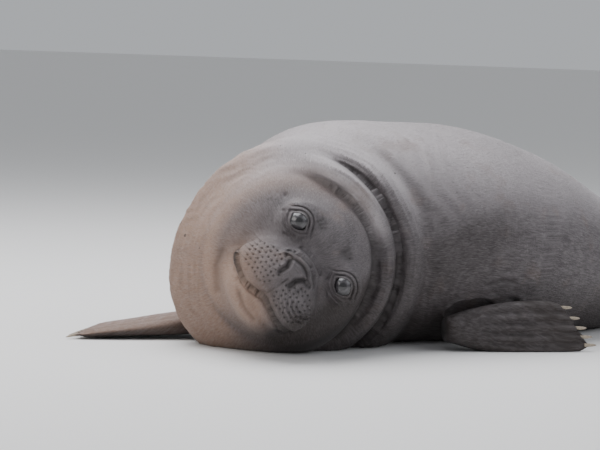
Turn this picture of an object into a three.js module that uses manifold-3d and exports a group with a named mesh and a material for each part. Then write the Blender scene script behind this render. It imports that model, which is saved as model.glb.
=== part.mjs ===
// Elephant seal, a fat weaned pup, life size, lying on its belly on flat ground.
// The rear of the trunk points along X, with the head end at +X, the animal's left is +Y and
// up is +Z, in millimetres. The origin is on the ground under the deepest part of the trunk.
// The chest and neck bend to the animal's left, and the head lies on its left cheek.
import * as THREE from "three";
import Module from "manifold-3d";

const wasm = await Module();
wasm.setup();

// Driving dimensions.
const CUT_GAP = 0.3; // between neighbouring nodes
const HEAD_TURN = 45; // degrees to the animal's left of +X
const HEAD_RAISE = 5; // degrees
const HEAD_ROLL = 54; // degrees, crown towards the animal's left shoulder
const BETWEEN_EYES = [402, 177, 201];
const EYE_SPACING = 146;
const EYEBALL_RADIUS = 21;

const BODY_CELL = 38;
const FLESH_REACH = 95; // how far two masses of the trunk flow into each other

// The masses of the trunk: centre, heading in degrees, and half length, width and height.
const TRUNK = [
  { name: "throat", at: [372, -66, 115], heading: 43, half: [92, 128, 131] },
  { name: "neck", at: [298, -12, 191], heading: 43, half: [92, 208, 205] },
  { name: "chest", at: [146, -42, 210], heading: 30, half: [170, 243, 228] },
  { name: "ribs", at: [-35, 0, 213], heading: 18, half: [215, 240, 223] },
  { name: "belly", at: [-194, 34, 197], heading: 6, half: [230, 236, 206] },
  { name: "loin", at: [-362, 42, 161], heading: -2, half: [225, 204, 171] },
  { name: "rump", at: [-530, 48, 116], heading: -5, half: [190, 150, 122] },
  { name: "tail_root", at: [-665, 56, 74], heading: -5, half: [100, 80, 64] },
];
// The upper arm inside its fold of skin, on the flank above the left fore flipper.
const ARM = { at: [-6, 240, 58], heading: 148, half: [92, 46, 46] };
const ARM_REACH = 16;

// The soft masses of the head, in its own [side, crown, nose] coordinates.
const HEAD_REACH = 34;
// The face runs smoothly into the throat and nape, and meets the folds in a crease.
const CHEEK_REACH = 62;
const CREASE_REACH = 12;
const HEAD = [
  { name: "face", at: [-22, -58, -132], half: [160, 157, 112] },
  { name: "jowl", at: [24, -92, -134], half: [122, 120, 92] },
  { name: "forehead", at: [-4, 0, -92], half: [96, 88, 92] },
  { name: "muzzle", at: [0, -88, -28], half: [82, 58, 84] },
  { name: "nose", at: [0, -56, 22], half: [35, 32, 38] },
  { name: "chin", at: [2, -160, -42], half: [66, 34, 62] },
];
const PAIRED = [
  { name: "whisker_pad", at: [42, -97, 17], half: [46, 39, 43] },
  { name: "brow", at: [EYE_SPACING / 2, 2, -30], half: [38, 35, 34] },
];

// The rolls of skin round the face: radius, thickness, and how deep each is buried. The
// lean takes a roll away early on the upper side, where the skin of the nape is stretched.
const ROLL_CENTRE = [-22, -58];
const ROLLS = [
  { radius: 188, thick: 27, bury: 5, lean: 0.1 },
  { radius: 237, thick: 25, bury: 8, lean: 0.5 },
];
const ROLL_CREASES = [
  { radius: 165, depth: 9, width: 7, lean: 0.1, least: 0.12 },
  { radius: 212, depth: 11, width: 7, lean: 0.4, least: 0 },
  { radius: 268, depth: 6, width: 12, lean: 0.5, least: 0 },
];

const rad = THREE.MathUtils.degToRad;
const v3 = (x, y, z) => new THREE.Vector3(x, y, z);

// The head's own axes.
const noseAxis = v3(
  Math.cos(rad(HEAD_TURN)) * Math.cos(rad(HEAD_RAISE)),
  Math.sin(rad(HEAD_TURN)) * Math.cos(rad(HEAD_RAISE)),
  Math.sin(rad(HEAD_RAISE)),
);
const levelSide = v3(-Math.sin(rad(HEAD_TURN)), Math.cos(rad(HEAD_TURN)), 0);
const levelUp = noseAxis.clone().cross(levelSide);
const sideAxis = levelSide.clone().multiplyScalar(Math.cos(rad(HEAD_ROLL)))
  .addScaledVector(levelUp, -Math.sin(rad(HEAD_ROLL)));
const crownAxis = levelUp.clone().multiplyScalar(Math.cos(rad(HEAD_ROLL)))
  .addScaledVector(levelSide, Math.sin(rad(HEAD_ROLL)));
const headOrigin = v3(...BETWEEN_EYES);

// A point in the head's own coordinates [side, crown, nose].
function inHead(x, y, z) {
  const dx = x - headOrigin.x;
  const dy = y - headOrigin.y;
  const dz = z - headOrigin.z;
  return [
    dx * sideAxis.x + dy * sideAxis.y + dz * sideAxis.z,
    dx * crownAxis.x + dy * crownAxis.y + dz * crownAxis.z,
    dx * noseAxis.x + dy * noseAxis.y + dz * noseAxis.z,
  ];
}

function fromHead(side, crown, nose) {
  return headOrigin.clone().addScaledVector(sideAxis, side)
    .addScaledVector(crownAxis, crown).addScaledVector(noseAxis, nose);
}

// The smaller of two distances, with the corner between them filled over a reach.
function blend(a, b, reach) {
  const h = Math.max(reach - Math.abs(a - b), 0) / reach;
  return Math.min(a, b) - h * h * reach * 0.25;
}

function smooth(low, high, x) {
  const t = Math.min(1, Math.max(0, (x - low) / (high - low)));
  return t * t * (3 - 2 * t);
}

const hill = (x, width) => Math.exp(-(x * x) / (width * width));

// About the distance from the point [a, b, c] to an ellipsoid round the origin.
function ellipsoid(a, b, c, half) {
  const k0 = Math.hypot(a / half[0], b / half[1], c / half[2]);
  const k1 = Math.hypot(a / half[0] ** 2, b / half[1] ** 2, c / half[2] ** 2);
  return k1 < 1e-9 ? -Math.min(...half) : (k0 * (k0 - 1)) / k1;
}

function trunk(x, y, z) {
  let d = 1e3;
  for (const mass of TRUNK) {
    const c = Math.cos(rad(mass.heading));
    const s = Math.sin(rad(mass.heading));
    const dx = x - mass.at[0];
    const dy = y - mass.at[1];
    const e = ellipsoid(dx * c + dy * s, dy * c - dx * s, z - mass.at[2], mass.half);
    d = blend(d, e, FLESH_REACH);
  }
  return d;
}

function headMasses(side, crown, nose) {
  let d = 1e3;
  for (const mass of HEAD) {
    const e = ellipsoid(side - mass.at[0], crown - mass.at[1], nose - mass.at[2], mass.half);
    d = blend(d, e, HEAD_REACH);
  }
  for (const mass of PAIRED) {
    const e = ellipsoid(Math.abs(side) - mass.at[0], crown - mass.at[1], nose - mass.at[2], mass.half);
    d = blend(d, e, HEAD_REACH * 0.7);
  }
  return d;
}

// How far a place is from the middle of the face, and 1 on the side where the neck is
// folded, down to 0 opposite. The lean ends a fold early on the upper side, and behind the
// neck there are no folds.
function faceRing(side, crown, nose) {
  const a = side - ROLL_CENTRE[0];
  const b = crown - ROLL_CENTRE[1];
  const across = Math.hypot(a, b) + 1e-6;
  const c = Math.cos(rad(HEAD_ROLL));
  const s = Math.sin(rad(HEAD_ROLL));
  const folded = (a * c + b * s) / across;
  const upper = Math.max(0, (b * c - a * s) / across);
  const onNeck = smooth(-430, -340, nose);
  return { across, onNeck, foldAt: (lean) => onNeck * smooth(-0.35, 0.45, folded - lean * upper) };
}

// The rolls lie on the trunk, and sink into it away from the folded side of the neck.
function rolls(d, { across, onNeck, foldAt }) {
  let out = d;
  for (const roll of ROLLS) {
    const bury = roll.bury + (1 - foldAt(roll.lean)) * (roll.thick + 14 - roll.bury);
    out = blend(out, Math.hypot(across - roll.radius, d + bury) - roll.thick, 14);
  }
  for (const crease of ROLL_CREASES) {
    const deep = onNeck * crease.least + (1 - crease.least) * foldAt(crease.lean);
    out += deep * crease.depth * hill(across - crease.radius, crease.width);
  }
  return out;
}

// How deep the lines of the face are cut into it. Raised places are below zero.
const MOUTH = { middle: 3, height: -130, droop: 10, half: 86, depth: 8, width: 4 };
const NOSTRIL = { low: [15, -80], high: [22, -54], depth: 9, width: 5 };
const NOSE_CREASES = [
  { height: -31, curve: 0.016, half: 36, depth: 4, width: 4 },
  { height: -17, curve: 0.005, half: 36, depth: 4, width: 4 },
];
const LID = { rim: 17, rimHeight: 3.5, crease: 25, creaseDepth: 3.5, width: 4 };
const BROW_PIT = { side: 37, shift: -8, crown: 38, depth: 4, width: 8 };
const EAR = { side: 128, crown: 6, depth: 5, width: 6 };

function toSegment(px, py, a, b) {
  const dx = b[0] - a[0];
  const dy = b[1] - a[1];
  const t = Math.min(1, Math.max(0, ((px - a[0]) * dx + (py - a[1]) * dy) / (dx * dx + dy * dy)));
  return Math.hypot(px - a[0] - t * dx, py - a[1] - t * dy);
}

function faceLines(side, crown, nose) {
  if (nose < -115) return 0;
  let cut = 0;
  const fromMiddle = Math.abs(side - MOUTH.middle);
  const lip = MOUTH.height - MOUTH.droop * (smooth(0, 24, fromMiddle) - 0.8 * smooth(58, 90, fromMiddle));
  const mouthFade = 1 - smooth(MOUTH.half - 12, MOUTH.half + 4, fromMiddle);
  cut += mouthFade * MOUTH.depth * hill(crown - lip, MOUTH.width);
  cut += 3 * mouthFade * hill(crown - lip, 11);
  cut += 3 * hill(side - 1, 3.5) * smooth(-133, -126, crown) * (1 - smooth(-96, -80, crown));
  const half = Math.abs(side);
  cut += NOSTRIL.depth * hill(toSegment(half, crown, NOSTRIL.low, NOSTRIL.high), NOSTRIL.width);
  for (const crease of NOSE_CREASES) {
    const line = crease.height - crease.curve * side * side;
    cut += crease.depth * hill(crown - line, crease.width) * (1 - smooth(crease.half - 8, crease.half, half));
  }
  const fromEye = Math.hypot(half - EYE_SPACING / 2, crown);
  cut -= LID.rimHeight * hill(fromEye - LID.rim, LID.width);
  cut += LID.creaseDepth * hill(fromEye - LID.crease, LID.width);
  const pit = Math.hypot(Math.abs(side - BROW_PIT.shift) - BROW_PIT.side, crown - BROW_PIT.crown);
  cut += BROW_PIT.depth * hill(pit, BROW_PIT.width);
  cut += EAR.depth * hill(Math.hypot(half - EAR.side, crown - EAR.crown), EAR.width);
  return cut;
}

// Below zero inside the animal.
function skin(x, y, z) {
  const [side, crown, nose] = inHead(x, y, z);
  const ring = faceRing(side, crown, nose);
  let d = rolls(trunk(x, y, z), ring);
  const c = Math.cos(rad(ARM.heading));
  const s = Math.sin(rad(ARM.heading));
  const dx = x - ARM.at[0];
  const dy = y - ARM.at[1];
  const arm = ellipsoid(dx * c + dy * s, dy * c - dx * s, z - ARM.at[2], ARM.half);
  d = blend(d, arm, ARM_REACH);
  const reach = CHEEK_REACH - (CHEEK_REACH - CREASE_REACH) * ring.foldAt(0.1);
  return blend(d, headMasses(side, crown, nose) + faceLines(side, crown, nose), reach);
}

function gradient(f, p) {
  const e = 0.4;
  return v3(
    f(p.x + e, p.y, p.z) - f(p.x - e, p.y, p.z),
    f(p.x, p.y + e, p.z) - f(p.x, p.y - e, p.z),
    f(p.x, p.y, p.z + e) - f(p.x, p.y, p.z - e),
  ).multiplyScalar(1 / (2 * e));
}

// Moves a point onto the skin.
function settle(p, limit) {
  for (let i = 0; i < 4; i++) {
    const d = skin(p.x, p.y, p.z);
    const g = gradient(skin, p);
    const step = Math.max(-limit, Math.min(limit, d / Math.max(g.lengthSq(), 0.2)));
    p.addScaledVector(g, -step);
  }
  return p;
}

// Finds the skin in a grid of cells, one vertex for each cell that it crosses.
function netOf(f, low, high, cell) {
  const n = [0, 1, 2].map((k) => Math.ceil((high[k] - low[k]) / cell) + 1);
  const at = (i, j, k) => i + n[0] * (j + n[1] * k);
  const value = new Float64Array(n[0] * n[1] * n[2]);
  for (let k = 0; k < n[2]; k++)
    for (let j = 0; j < n[1]; j++)
      for (let i = 0; i < n[0]; i++)
        value[at(i, j, k)] = f(low[0] + i * cell, low[1] + j * cell, low[2] + k * cell);
  const vertexOf = new Map();
  const points = [];
  const triangles = [];
  const vertex = (i, j, k) => {
    const key = at(i, j, k);
    if (vertexOf.has(key)) return vertexOf.get(key);
    const sum = v3(0, 0, 0);
    let count = 0;
    for (let axis = 0; axis < 3; axis++)
      for (let corner = 0; corner < 4; corner++) {
        const o = [0, 0, 0];
        o[(axis + 1) % 3] = corner & 1;
        o[(axis + 2) % 3] = corner >> 1;
        const a = value[at(i + o[0], j + o[1], k + o[2])];
        const p = [i + o[0], j + o[1], k + o[2]];
        o[axis] = 1;
        const b = value[at(i + o[0], j + o[1], k + o[2])];
        if (a < 0 === b < 0) continue;
        p[axis] += a / (a - b);
        sum.add(v3(...p));
        count++;
      }
    sum.multiplyScalar(cell / count).add(v3(...low));
    points.push(sum);
    vertexOf.set(key, points.length - 1);
    return points.length - 1;
  };
  for (let k = 1; k < n[2] - 1; k++)
    for (let j = 1; j < n[1] - 1; j++)
      for (let i = 1; i < n[0] - 1; i++)
        for (let axis = 0; axis < 3; axis++) {
          const step = [0, 0, 0];
          step[axis] = 1;
          const a = value[at(i, j, k)] < 0;
          const b = value[at(i + step[0], j + step[1], k + step[2])] < 0;
          if (a === b) continue;
          const u = [0, 0, 0];
          const v = [0, 0, 0];
          u[(axis + 1) % 3] = 1;
          v[(axis + 2) % 3] = 1;
          const q = [
            vertex(i - u[0] - v[0], j - u[1] - v[1], k - u[2] - v[2]),
            vertex(i - v[0], j - v[1], k - v[2]),
            vertex(i, j, k),
            vertex(i - u[0], j - u[1], k - u[2]),
          ];
          if (b) q.reverse();
          triangles.push([q[0], q[1], q[2]], [q[0], q[2], q[3]]);
        }
  return { points, triangles };
}

// Moves each vertex towards the middle of its neighbours and back onto the skin.
function relax(mesh, rounds, limit) {
  for (let round = 0; round < rounds; round++) {
    const sums = mesh.points.map(() => v3(0, 0, 0));
    const counts = new Float64Array(mesh.points.length);
    for (const t of mesh.triangles)
      for (let e = 0; e < 3; e++) {
        sums[t[e]].add(mesh.points[t[(e + 1) % 3]]);
        counts[t[e]]++;
      }
    mesh.points.forEach((p, i) => settle(p.lerp(sums[i].multiplyScalar(1 / counts[i]), 0.5), limit));
  }
}

// Halves each edge that is longer than the detail wanted at its middle.
function refine(mesh, wanted) {
  const middles = new Map();
  const middle = (a, b) => {
    const key = a < b ? `${a},${b}` : `${b},${a}`;
    if (!middles.has(key)) {
      const p = mesh.points[a].clone().lerp(mesh.points[b], 0.5);
      const long = mesh.points[a].distanceTo(mesh.points[b]) > wanted(p);
      if (long) mesh.points.push(settle(p, 12));
      middles.set(key, long ? mesh.points.length - 1 : -1);
    }
    return middles.get(key);
  };
  const out = [];
  for (const [a, b, c] of mesh.triangles) {
    const m = [middle(a, b), middle(b, c), middle(c, a)];
    const v = [a, b, c];
    const cuts = m.filter((x) => x >= 0).length;
    if (cuts === 0) out.push(v);
    if (cuts === 3)
      out.push([a, m[0], m[2]], [m[0], b, m[1]], [m[2], m[1], c], [m[0], m[1], m[2]]);
    if (cuts === 1) {
      const i = m.findIndex((x) => x >= 0);
      const [p, q, r] = [v[i], v[(i + 1) % 3], v[(i + 2) % 3]];
      out.push([p, m[i], r], [m[i], q, r]);
    }
    if (cuts === 2) {
      const i = m.findIndex((x) => x < 0);
      const [p, q, r] = [v[i], v[(i + 1) % 3], v[(i + 2) % 3]];
      const qr = m[(i + 1) % 3];
      const rp = m[(i + 2) % 3];
      out.push([r, rp, qr]);
      if (mesh.points[p].distanceTo(mesh.points[qr]) < mesh.points[q].distanceTo(mesh.points[rp]))
        out.push([p, q, qr], [p, qr, rp]);
      else out.push([p, q, rp], [q, qr, rp]);
    }
  }
  mesh.triangles = out;
}

function solidOf(mesh) {
  const vertProperties = new Float32Array(mesh.points.flatMap((p) => [p.x, p.y, p.z]));
  const triVerts = new Uint32Array(mesh.triangles.flat());
  return new wasm.Manifold(new wasm.Mesh({ numProp: 3, vertProperties, triVerts }));
}

// Edge length wanted on the skin: fine on the face, middling on the folds, coarse on the trunk.
function detail(p) {
  const [side, crown, nose] = inHead(p.x, p.y, p.z);
  const half = Math.abs(side);
  const across = Math.hypot(side - ROLL_CENTRE[0], crown - ROLL_CENTRE[1]);
  if (p.z < 3) return 60;
  if (nose < -90) {
    const arm = Math.hypot(p.x - ARM.at[0], p.y - ARM.at[1]) < 120 && p.y > 180;
    if (arm) return 24;
    if (nose < -300 || across > 285) return 60;
    return across > 150 && side > -120 ? 20 : 38;
  }
  const mouth = Math.abs(crown - MOUTH.height + 6) < 15 && half < 90;
  const muzzle = half < 38 && crown < -8 && crown > -92;
  const eye = Math.hypot(half - EYE_SPACING / 2, crown) < 30;
  if (eye) return 6.5;
  return mouth || muzzle ? 8 : 19;
}

// The form without its folds, which the cells can follow everywhere.
function plainForm(x, y, z) {
  return blend(trunk(x, y, z), headMasses(...inHead(x, y, z)), 60) - 10;
}

const body = netOf(plainForm, [-930, -420, -150], [640, 480, 560], BODY_CELL);
body.points.forEach((p) => settle(p, BODY_CELL / 2));
relax(body, 4, BODY_CELL / 2);
for (const rounds of [2, 2, 1]) {
  refine(body, detail);
  relax(body, rounds, 5);
}
body.points.forEach((p) => p.setZ(Math.max(p.z, 0)));


// The same shape grown outwards, for cutting a neighbour clear of it.
function grown(mesh, by) {
  const normals = mesh.points.map(() => v3(0, 0, 0));
  for (const [a, b, c] of mesh.triangles) {
    const p = mesh.points[a];
    const n = mesh.points[b].clone().sub(p).cross(mesh.points[c].clone().sub(p));
    for (const i of [a, b, c]) normals[i].add(n);
  }
  const points = mesh.points.map((p, i) => p.clone().addScaledVector(normals[i].normalize(), by));
  return { points, triangles: mesh.triangles };
}

// Rings of points, each with the same count, closed by a fan at either end.
function ringsMesh(rings) {
  const count = rings[0].length;
  const points = rings.flat();
  const triangles = [];
  for (let i = 0; i + 1 < rings.length; i++)
    for (let j = 0; j < count; j++) {
      const a = i * count + j;
      const b = i * count + ((j + 1) % count);
      triangles.push([a, b, b + count], [a, b + count, a + count]);
    }
  for (const end of [0, rings.length - 1]) {
    const middle = v3(0, 0, 0);
    for (const p of rings[end]) middle.addScaledVector(p, 1 / count);
    points.push(middle);
    for (let j = 0; j < count; j++) {
      const a = end * count + j;
      const b = end * count + ((j + 1) % count);
      triangles.push(end === 0 ? [b, a, points.length - 1] : [a, b, points.length - 1]);
    }
  }
  return { points, triangles };
}

const largest = (solid) => solid.decompose().sort((p, q) => q.volume() - p.volume())[0];

const group = new THREE.Group();

function addNode(name, solid, colour) {
  const { vertProperties, triVerts } = largest(solid).getMesh();
  const geometry = new THREE.BufferGeometry();
  geometry.setAttribute("position", new THREE.BufferAttribute(new Float32Array(vertProperties), 3));
  geometry.setIndex(new THREE.BufferAttribute(new Uint32Array(triVerts), 1));
  geometry.computeVertexNormals();
  const material = new THREE.MeshStandardMaterial({ color: colour, roughness: 0.8, metalness: 0 });
  const mesh = new THREE.Mesh(geometry, material);
  mesh.name = name;
  group.add(mesh);
  return mesh;
}

const HIDE = 0x77716c;
const FLIPPER_HIDE = 0x3a3431;
const CLAW = 0xb8ac98;
const EYE = 0x15110f;

// A flipper is a blade that runs from root to tip. Its digits are ridges along it, and the
// first digit lies on its leading edge.
const FORE = { digits: 5, rings: 7, across: 15, ridge: 0.22, web: 0.07, shorter: 0.2 };
const FLIPPERS = [
  {
    name: "fore_flipper_left",
    root: [70, 200, 42],
    tip: [-176, 362, 47],
    lead: [-0.1, 0.25, -0.95],
    wide: [46, 108, 84],
    thick: [64, 34, 12],
    ...FORE,
  },
  {
    name: "fore_flipper_right",
    root: [300, -175, 36],
    tip: [583, -330, 8],
    lead: [0.468, 0.885, 0.0],
    wide: [84, 112, 92],
    thick: [62, 30, 14],
    ...FORE,
  },
  {
    name: "hind_flipper_left",
    root: [-650, 92, 62],
    tip: [-936, 132, 66],
    lead: [0, 0.25, -0.97],
    wide: [62, 100, 150],
    thick: [50, 30, 12],
    ...FORE,
    web: 0.2,
    shorter: 0,
  },
  {
    name: "hind_flipper_right",
    root: [-650, 20, 62],
    tip: [-936, -22, 66],
    lead: [0, -0.25, -0.97],
    wide: [62, 100, 150],
    thick: [50, 30, 12],
    ...FORE,
    web: 0.2,
    shorter: 0,
  },
];

const quadratic = (abc, t) => {
  const [a, b, c] = abc;
  return a + t * (4 * b - 3 * a - c) + t * t * (2 * a + 2 * c - 4 * b);
};

// How far along the blade its edge lies, at a place from the first digit, 0, to the last, 1.
function reachAt(blade, place) {
  const webbed = blade.web * (1 - Math.abs(Math.sin(Math.PI * blade.digits * place)));
  const middle = blade.shorter === 0 ? 0.16 * Math.sin(Math.PI * place) : 0;
  return 1 - blade.shorter * place ** 1.5 - middle - webbed;
}

function flipperFrame(blade) {
  const root = v3(...blade.root);
  const along = v3(...blade.tip).sub(root);
  const lead = v3(...blade.lead);
  lead.addScaledVector(along, -lead.dot(along) / along.lengthSq()).normalize();
  const flat = along.clone().cross(lead).normalize();
  return { root, along, lead, flat };
}

function flipperPoint(blade, frame, t, place, face) {
  const s = t * reachAt(blade, place);
  const across = (0.5 - place) * quadratic(blade.wide, s);
  const edge = Math.sqrt(Math.max(0, 1 - (2 * place - 1) ** 2));
  const ridge = 1 + blade.ridge * smooth(0.15, 0.5, s) * (1 - 2 * Math.cos(Math.PI * blade.digits * place) ** 2);
  const thin = 1 - 0.5 * smooth(0.93, 1, t);
  const half = 0.5 * quadratic(blade.thick, s) * edge ** 0.6 * ridge * thin;
  const p = frame.root.clone().addScaledVector(frame.along, s);
  p.addScaledVector(frame.lead, across).addScaledVector(frame.flat, face * half);
  return p;
}

function flipperMesh(blade) {
  const frame = flipperFrame(blade);
  const rings = [];
  for (let i = 0; i <= blade.rings; i++) {
    const ring = [];
    for (let j = 0; j < blade.across; j++)
      ring.push(flipperPoint(blade, frame, i / blade.rings, j / blade.across, 1));
    for (let j = blade.across; j > 0; j--)
      ring.push(flipperPoint(blade, frame, i / blade.rings, j / blade.across, -1));
    rings.push(ring);
  }
  const mesh = ringsMesh(rings);
  mesh.points.forEach((p) => p.setZ(Math.max(p.z, 0)));
  return mesh;
}

const CLAW_SIZE = { long: 26, wide: 8, thick: 6, drop: 3, steps: 4, sides: 6 };

// A claw runs on from the tip of its digit, and bends towards the palm.
function clawMesh(blade, digit) {
  const frame = flipperFrame(blade);
  const place = (digit - 0.5) / blade.digits;
  const ahead = frame.along.clone().normalize();
  const start = flipperPoint(blade, frame, 1, place, 0).addScaledVector(ahead, -9);
  const rings = [];
  for (let i = 0; i <= CLAW_SIZE.steps; i++) {
    const t = i / CLAW_SIZE.steps;
    const size = Math.sqrt(1 - 0.97 * t * t);
    const middle = start.clone().addScaledVector(ahead, CLAW_SIZE.long * t);
    middle.addScaledVector(frame.flat, -CLAW_SIZE.drop * t * t * Math.sign(frame.flat.z + 0.01));
    const ring = [];
    for (let j = 0; j < CLAW_SIZE.sides; j++) {
      const turn = (2 * Math.PI * j) / CLAW_SIZE.sides;
      const p = middle.clone().addScaledVector(frame.lead, 0.5 * CLAW_SIZE.wide * size * Math.cos(turn));
      ring.push(p.addScaledVector(frame.flat, 0.5 * CLAW_SIZE.thick * size * Math.sin(turn)));
    }
    rings.push(ring);
  }
  return ringsMesh(rings);
}

// The eyes sit behind the lids, with their fronts a little proud of the skin.
const EYE_FRONT = 7;
let flesh = solidOf(body);
for (const [name, sign] of [["eye_left", 1], ["eye_right", -1]]) {
  const side = (sign * EYE_SPACING) / 2;
  let level = 60;
  while (skin(...fromHead(side, 0, level).toArray()) > 0) level -= 0.5;
  const middle = fromHead(side, 0, level + EYE_FRONT - EYEBALL_RADIUS);
  const sphere = (radius) => {
    const rings = [];
    for (let i = 1; i < 10; i++) {
      const tilt = (Math.PI * i) / 10;
      const ring = [];
      for (let j = 0; j < 16; j++) {
        const turn = (2 * Math.PI * j) / 16;
        const p = noseAxis.clone().multiplyScalar(-radius * Math.cos(tilt));
        p.addScaledVector(sideAxis, radius * Math.sin(tilt) * Math.cos(turn));
        ring.push(p.addScaledVector(crownAxis, radius * Math.sin(tilt) * Math.sin(turn)).add(middle));
      }
      rings.push(ring);
    }
    return solidOf(ringsMesh(rings));
  };
  addNode(name, sphere(EYEBALL_RADIUS), EYE);
  flesh = flesh.subtract(sphere(EYEBALL_RADIUS + CUT_GAP * 1.2));
}

// The head is parted from the neck by a cup, round its nose axis, under the first crease.
const CUP = { radius: 165, floor: -190, top: 260, sides: 40 };
function cup(more) {
  const rings = [];
  for (const nose of [CUP.floor - more, CUP.top]) {
    const ring = [];
    for (let j = 0; j < CUP.sides; j++) {
      const turn = (2 * Math.PI * j) / CUP.sides;
      const side = ROLL_CENTRE[0] + (CUP.radius + more) * Math.cos(turn);
      ring.push(fromHead(side, ROLL_CENTRE[1] + (CUP.radius + more) * Math.sin(turn), nose));
    }
    rings.push(ring);
  }
  return solidOf(ringsMesh(rings));
}
addNode("head", flesh.intersect(cup(0)), HIDE);
flesh = flesh.subtract(cup(CUT_GAP));

// Plane cuts across the trunk, from front to rear: a point on each, and its heading.
const CUTS = [
  { name: "neck", at: [222, -6], heading: 42 },
  { name: "chest", at: [-40, 0], heading: 18 },
  { name: "abdomen", at: [-330, 40], heading: 0 },
];
for (const cut of CUTS) {
  const normal = [Math.cos(rad(cut.heading)), Math.sin(rad(cut.heading)), 0];
  const offset = normal[0] * cut.at[0] + normal[1] * cut.at[1];
  addNode(cut.name, flesh.trimByPlane(normal, offset + CUT_GAP / 2), HIDE);
  flesh = flesh.trimByPlane(normal.map((n) => -n), -(offset - CUT_GAP / 2));
}
addNode("hindquarters", flesh, HIDE);

const clear = solidOf(grown(body, CUT_GAP * 1.2));
const tail = ringsMesh(
  [0, 0.35, 0.65, 0.9, 1].map((t) => {
    const ring = [];
    for (let j = 0; j < 12; j++) {
      const turn = (2 * Math.PI * j) / 12;
      const size = Math.sqrt(1.02 - t * t);
      ring.push(v3(-700 - 118 * t, 56 - 30 * size * Math.cos(turn), 80 - 22 * t + 17 * size * Math.sin(turn)));
    }
    return ring;
  }),
);
addNode("tail", solidOf(tail).subtract(clear), HIDE);

for (const blade of FLIPPERS) {
  const mesh = flipperMesh(blade);
  addNode(blade.name, solidOf(mesh).subtract(clear), FLIPPER_HIDE);
  if (!blade.name.startsWith("fore")) continue;
  const { along, lead, flat } = flipperFrame(blade);
  const whole = solidOf(mesh);
  const moved = [along, lead, flat].flatMap((axis) =>
    [1, -1].map((sign) => {
      const step = axis.clone().normalize().multiplyScalar(sign * CUT_GAP * 1.1);
      return whole.translate(step.x, step.y, step.z);
    }),
  );
  const room = wasm.Manifold.union([whole, ...moved]);
  for (let digit = 1; digit <= blade.digits; digit++) {
    const name = blade.name.replace("fore_flipper", "claw") + "_" + digit;
    addNode(name, solidOf(clawMesh(blade, digit)).subtract(room), CLAW);
  }
}

export default group;
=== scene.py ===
"""A weaned elephant seal pup, life size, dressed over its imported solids.

One skin stands for all the flesh, a short coat lies over it in tufts, and the eyes, claws and
whiskers are pieces of their own. Shapes are worked out in millimetres and built in metres.
"""

import math

import bpy
import numpy as np
from mathutils import Matrix, Vector


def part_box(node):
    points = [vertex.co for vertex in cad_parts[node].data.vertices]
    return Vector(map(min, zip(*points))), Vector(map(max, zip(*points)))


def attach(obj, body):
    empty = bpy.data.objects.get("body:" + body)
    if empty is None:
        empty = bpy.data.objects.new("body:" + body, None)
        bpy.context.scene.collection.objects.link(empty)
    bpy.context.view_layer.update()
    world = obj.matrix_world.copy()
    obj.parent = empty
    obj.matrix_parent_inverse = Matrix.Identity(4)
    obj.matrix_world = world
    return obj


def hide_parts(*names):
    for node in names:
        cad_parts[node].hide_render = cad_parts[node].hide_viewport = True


bl_info = {
    "name": "Elephant Seal Pup",
    "version": (1, 0, 0),
    "blender": (4, 5, 0),
    "location": "3D View > Sidebar > Seal",
    "description": "Dresses a resting seal pup in skin, short fur, eyes, claws and whiskers",
    "category": "Object",
}

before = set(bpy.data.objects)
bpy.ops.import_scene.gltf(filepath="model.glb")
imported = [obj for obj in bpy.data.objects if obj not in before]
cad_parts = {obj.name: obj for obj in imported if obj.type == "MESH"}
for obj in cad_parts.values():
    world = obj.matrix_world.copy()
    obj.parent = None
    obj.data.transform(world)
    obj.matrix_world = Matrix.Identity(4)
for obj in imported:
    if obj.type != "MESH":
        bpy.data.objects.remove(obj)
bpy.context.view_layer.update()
BODY = "root"

# The pose and the masses of the body, as in the solids.

HEAD_TURN = 45
HEAD_RAISE = 5
HEAD_ROLL = 54
BETWEEN_EYES = (402, 177, 201)
EYE_SPACING = 146
EYEBALL_RADIUS = 21
FLESH_REACH = 95

# Middle, heading in degrees, and half sizes of each mass of the trunk.
TRUNK = (
    ((372, -66, 115), 43, (92, 128, 131)),  # throat
    ((298, -12, 191), 43, (92, 208, 205)),  # neck
    ((146, -42, 210), 30, (170, 243, 228)),  # chest
    ((-35, 0, 213), 18, (215, 240, 223)),  # ribs
    ((-194, 34, 197), 6, (230, 236, 206)),  # belly
    ((-362, 42, 161), -2, (225, 204, 171)),  # loin
    ((-530, 48, 116), -5, (190, 150, 122)),  # rump
    ((-665, 56, 74), -5, (100, 80, 64)),  # root of the tail
)
ARM = ((-6, 240, 58), 148, (92, 46, 46))
ARM_REACH = 16
HEAD_REACH = 34

# Middle and half sizes in the head's own directions: side, crown, nose.
HEAD = (
    ((-22, -58, -132), (160, 157, 112)),  # face
    ((24, -92, -134), (122, 120, 92)),  # jowl
    ((-4, 0, -92), (96, 88, 92)),  # forehead
    ((0, -88, -28), (82, 58, 84)),  # muzzle
    ((0, -56, 22), (35, 32, 38)),  # nose
    ((2, -160, -38), (66, 34, 62)),  # chin
)
PAIRED = (
    ((42, -97, 17), (46, 39, 43)),  # whisker pads
    ((EYE_SPACING / 2, 2, -30), (38, 35, 34)),  # brows
    ((45, -113, 4), (47, 32, 42)),  # lips
)
CHEEK_REACH = 62
CREASE_REACH = 12
ROLL_CENTRE = (-22, -58)
ROLL_REACH = 14
NECK_BACK = (-430, -340)  # where the folds end, measured along the nose
# Radius, thickness, how deep each is buried, and how early it ends on the upper side.
ROLLS = ((188, 27, 5, 0.1), (237, 25, 8, 0.5))
# Radius, depth, width, how early it ends on the upper side, and its least depth.
ROLL_CREASES = ((165, 9, 7, 0.1, 0.12), (212, 11, 7, 0.4, 0), (268, 6, 12, 0.5, 0))


def heading(degrees):
    """Cosine and sine of an angle in degrees."""
    turn = math.radians(degrees)
    return math.cos(turn), math.sin(turn)


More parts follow.
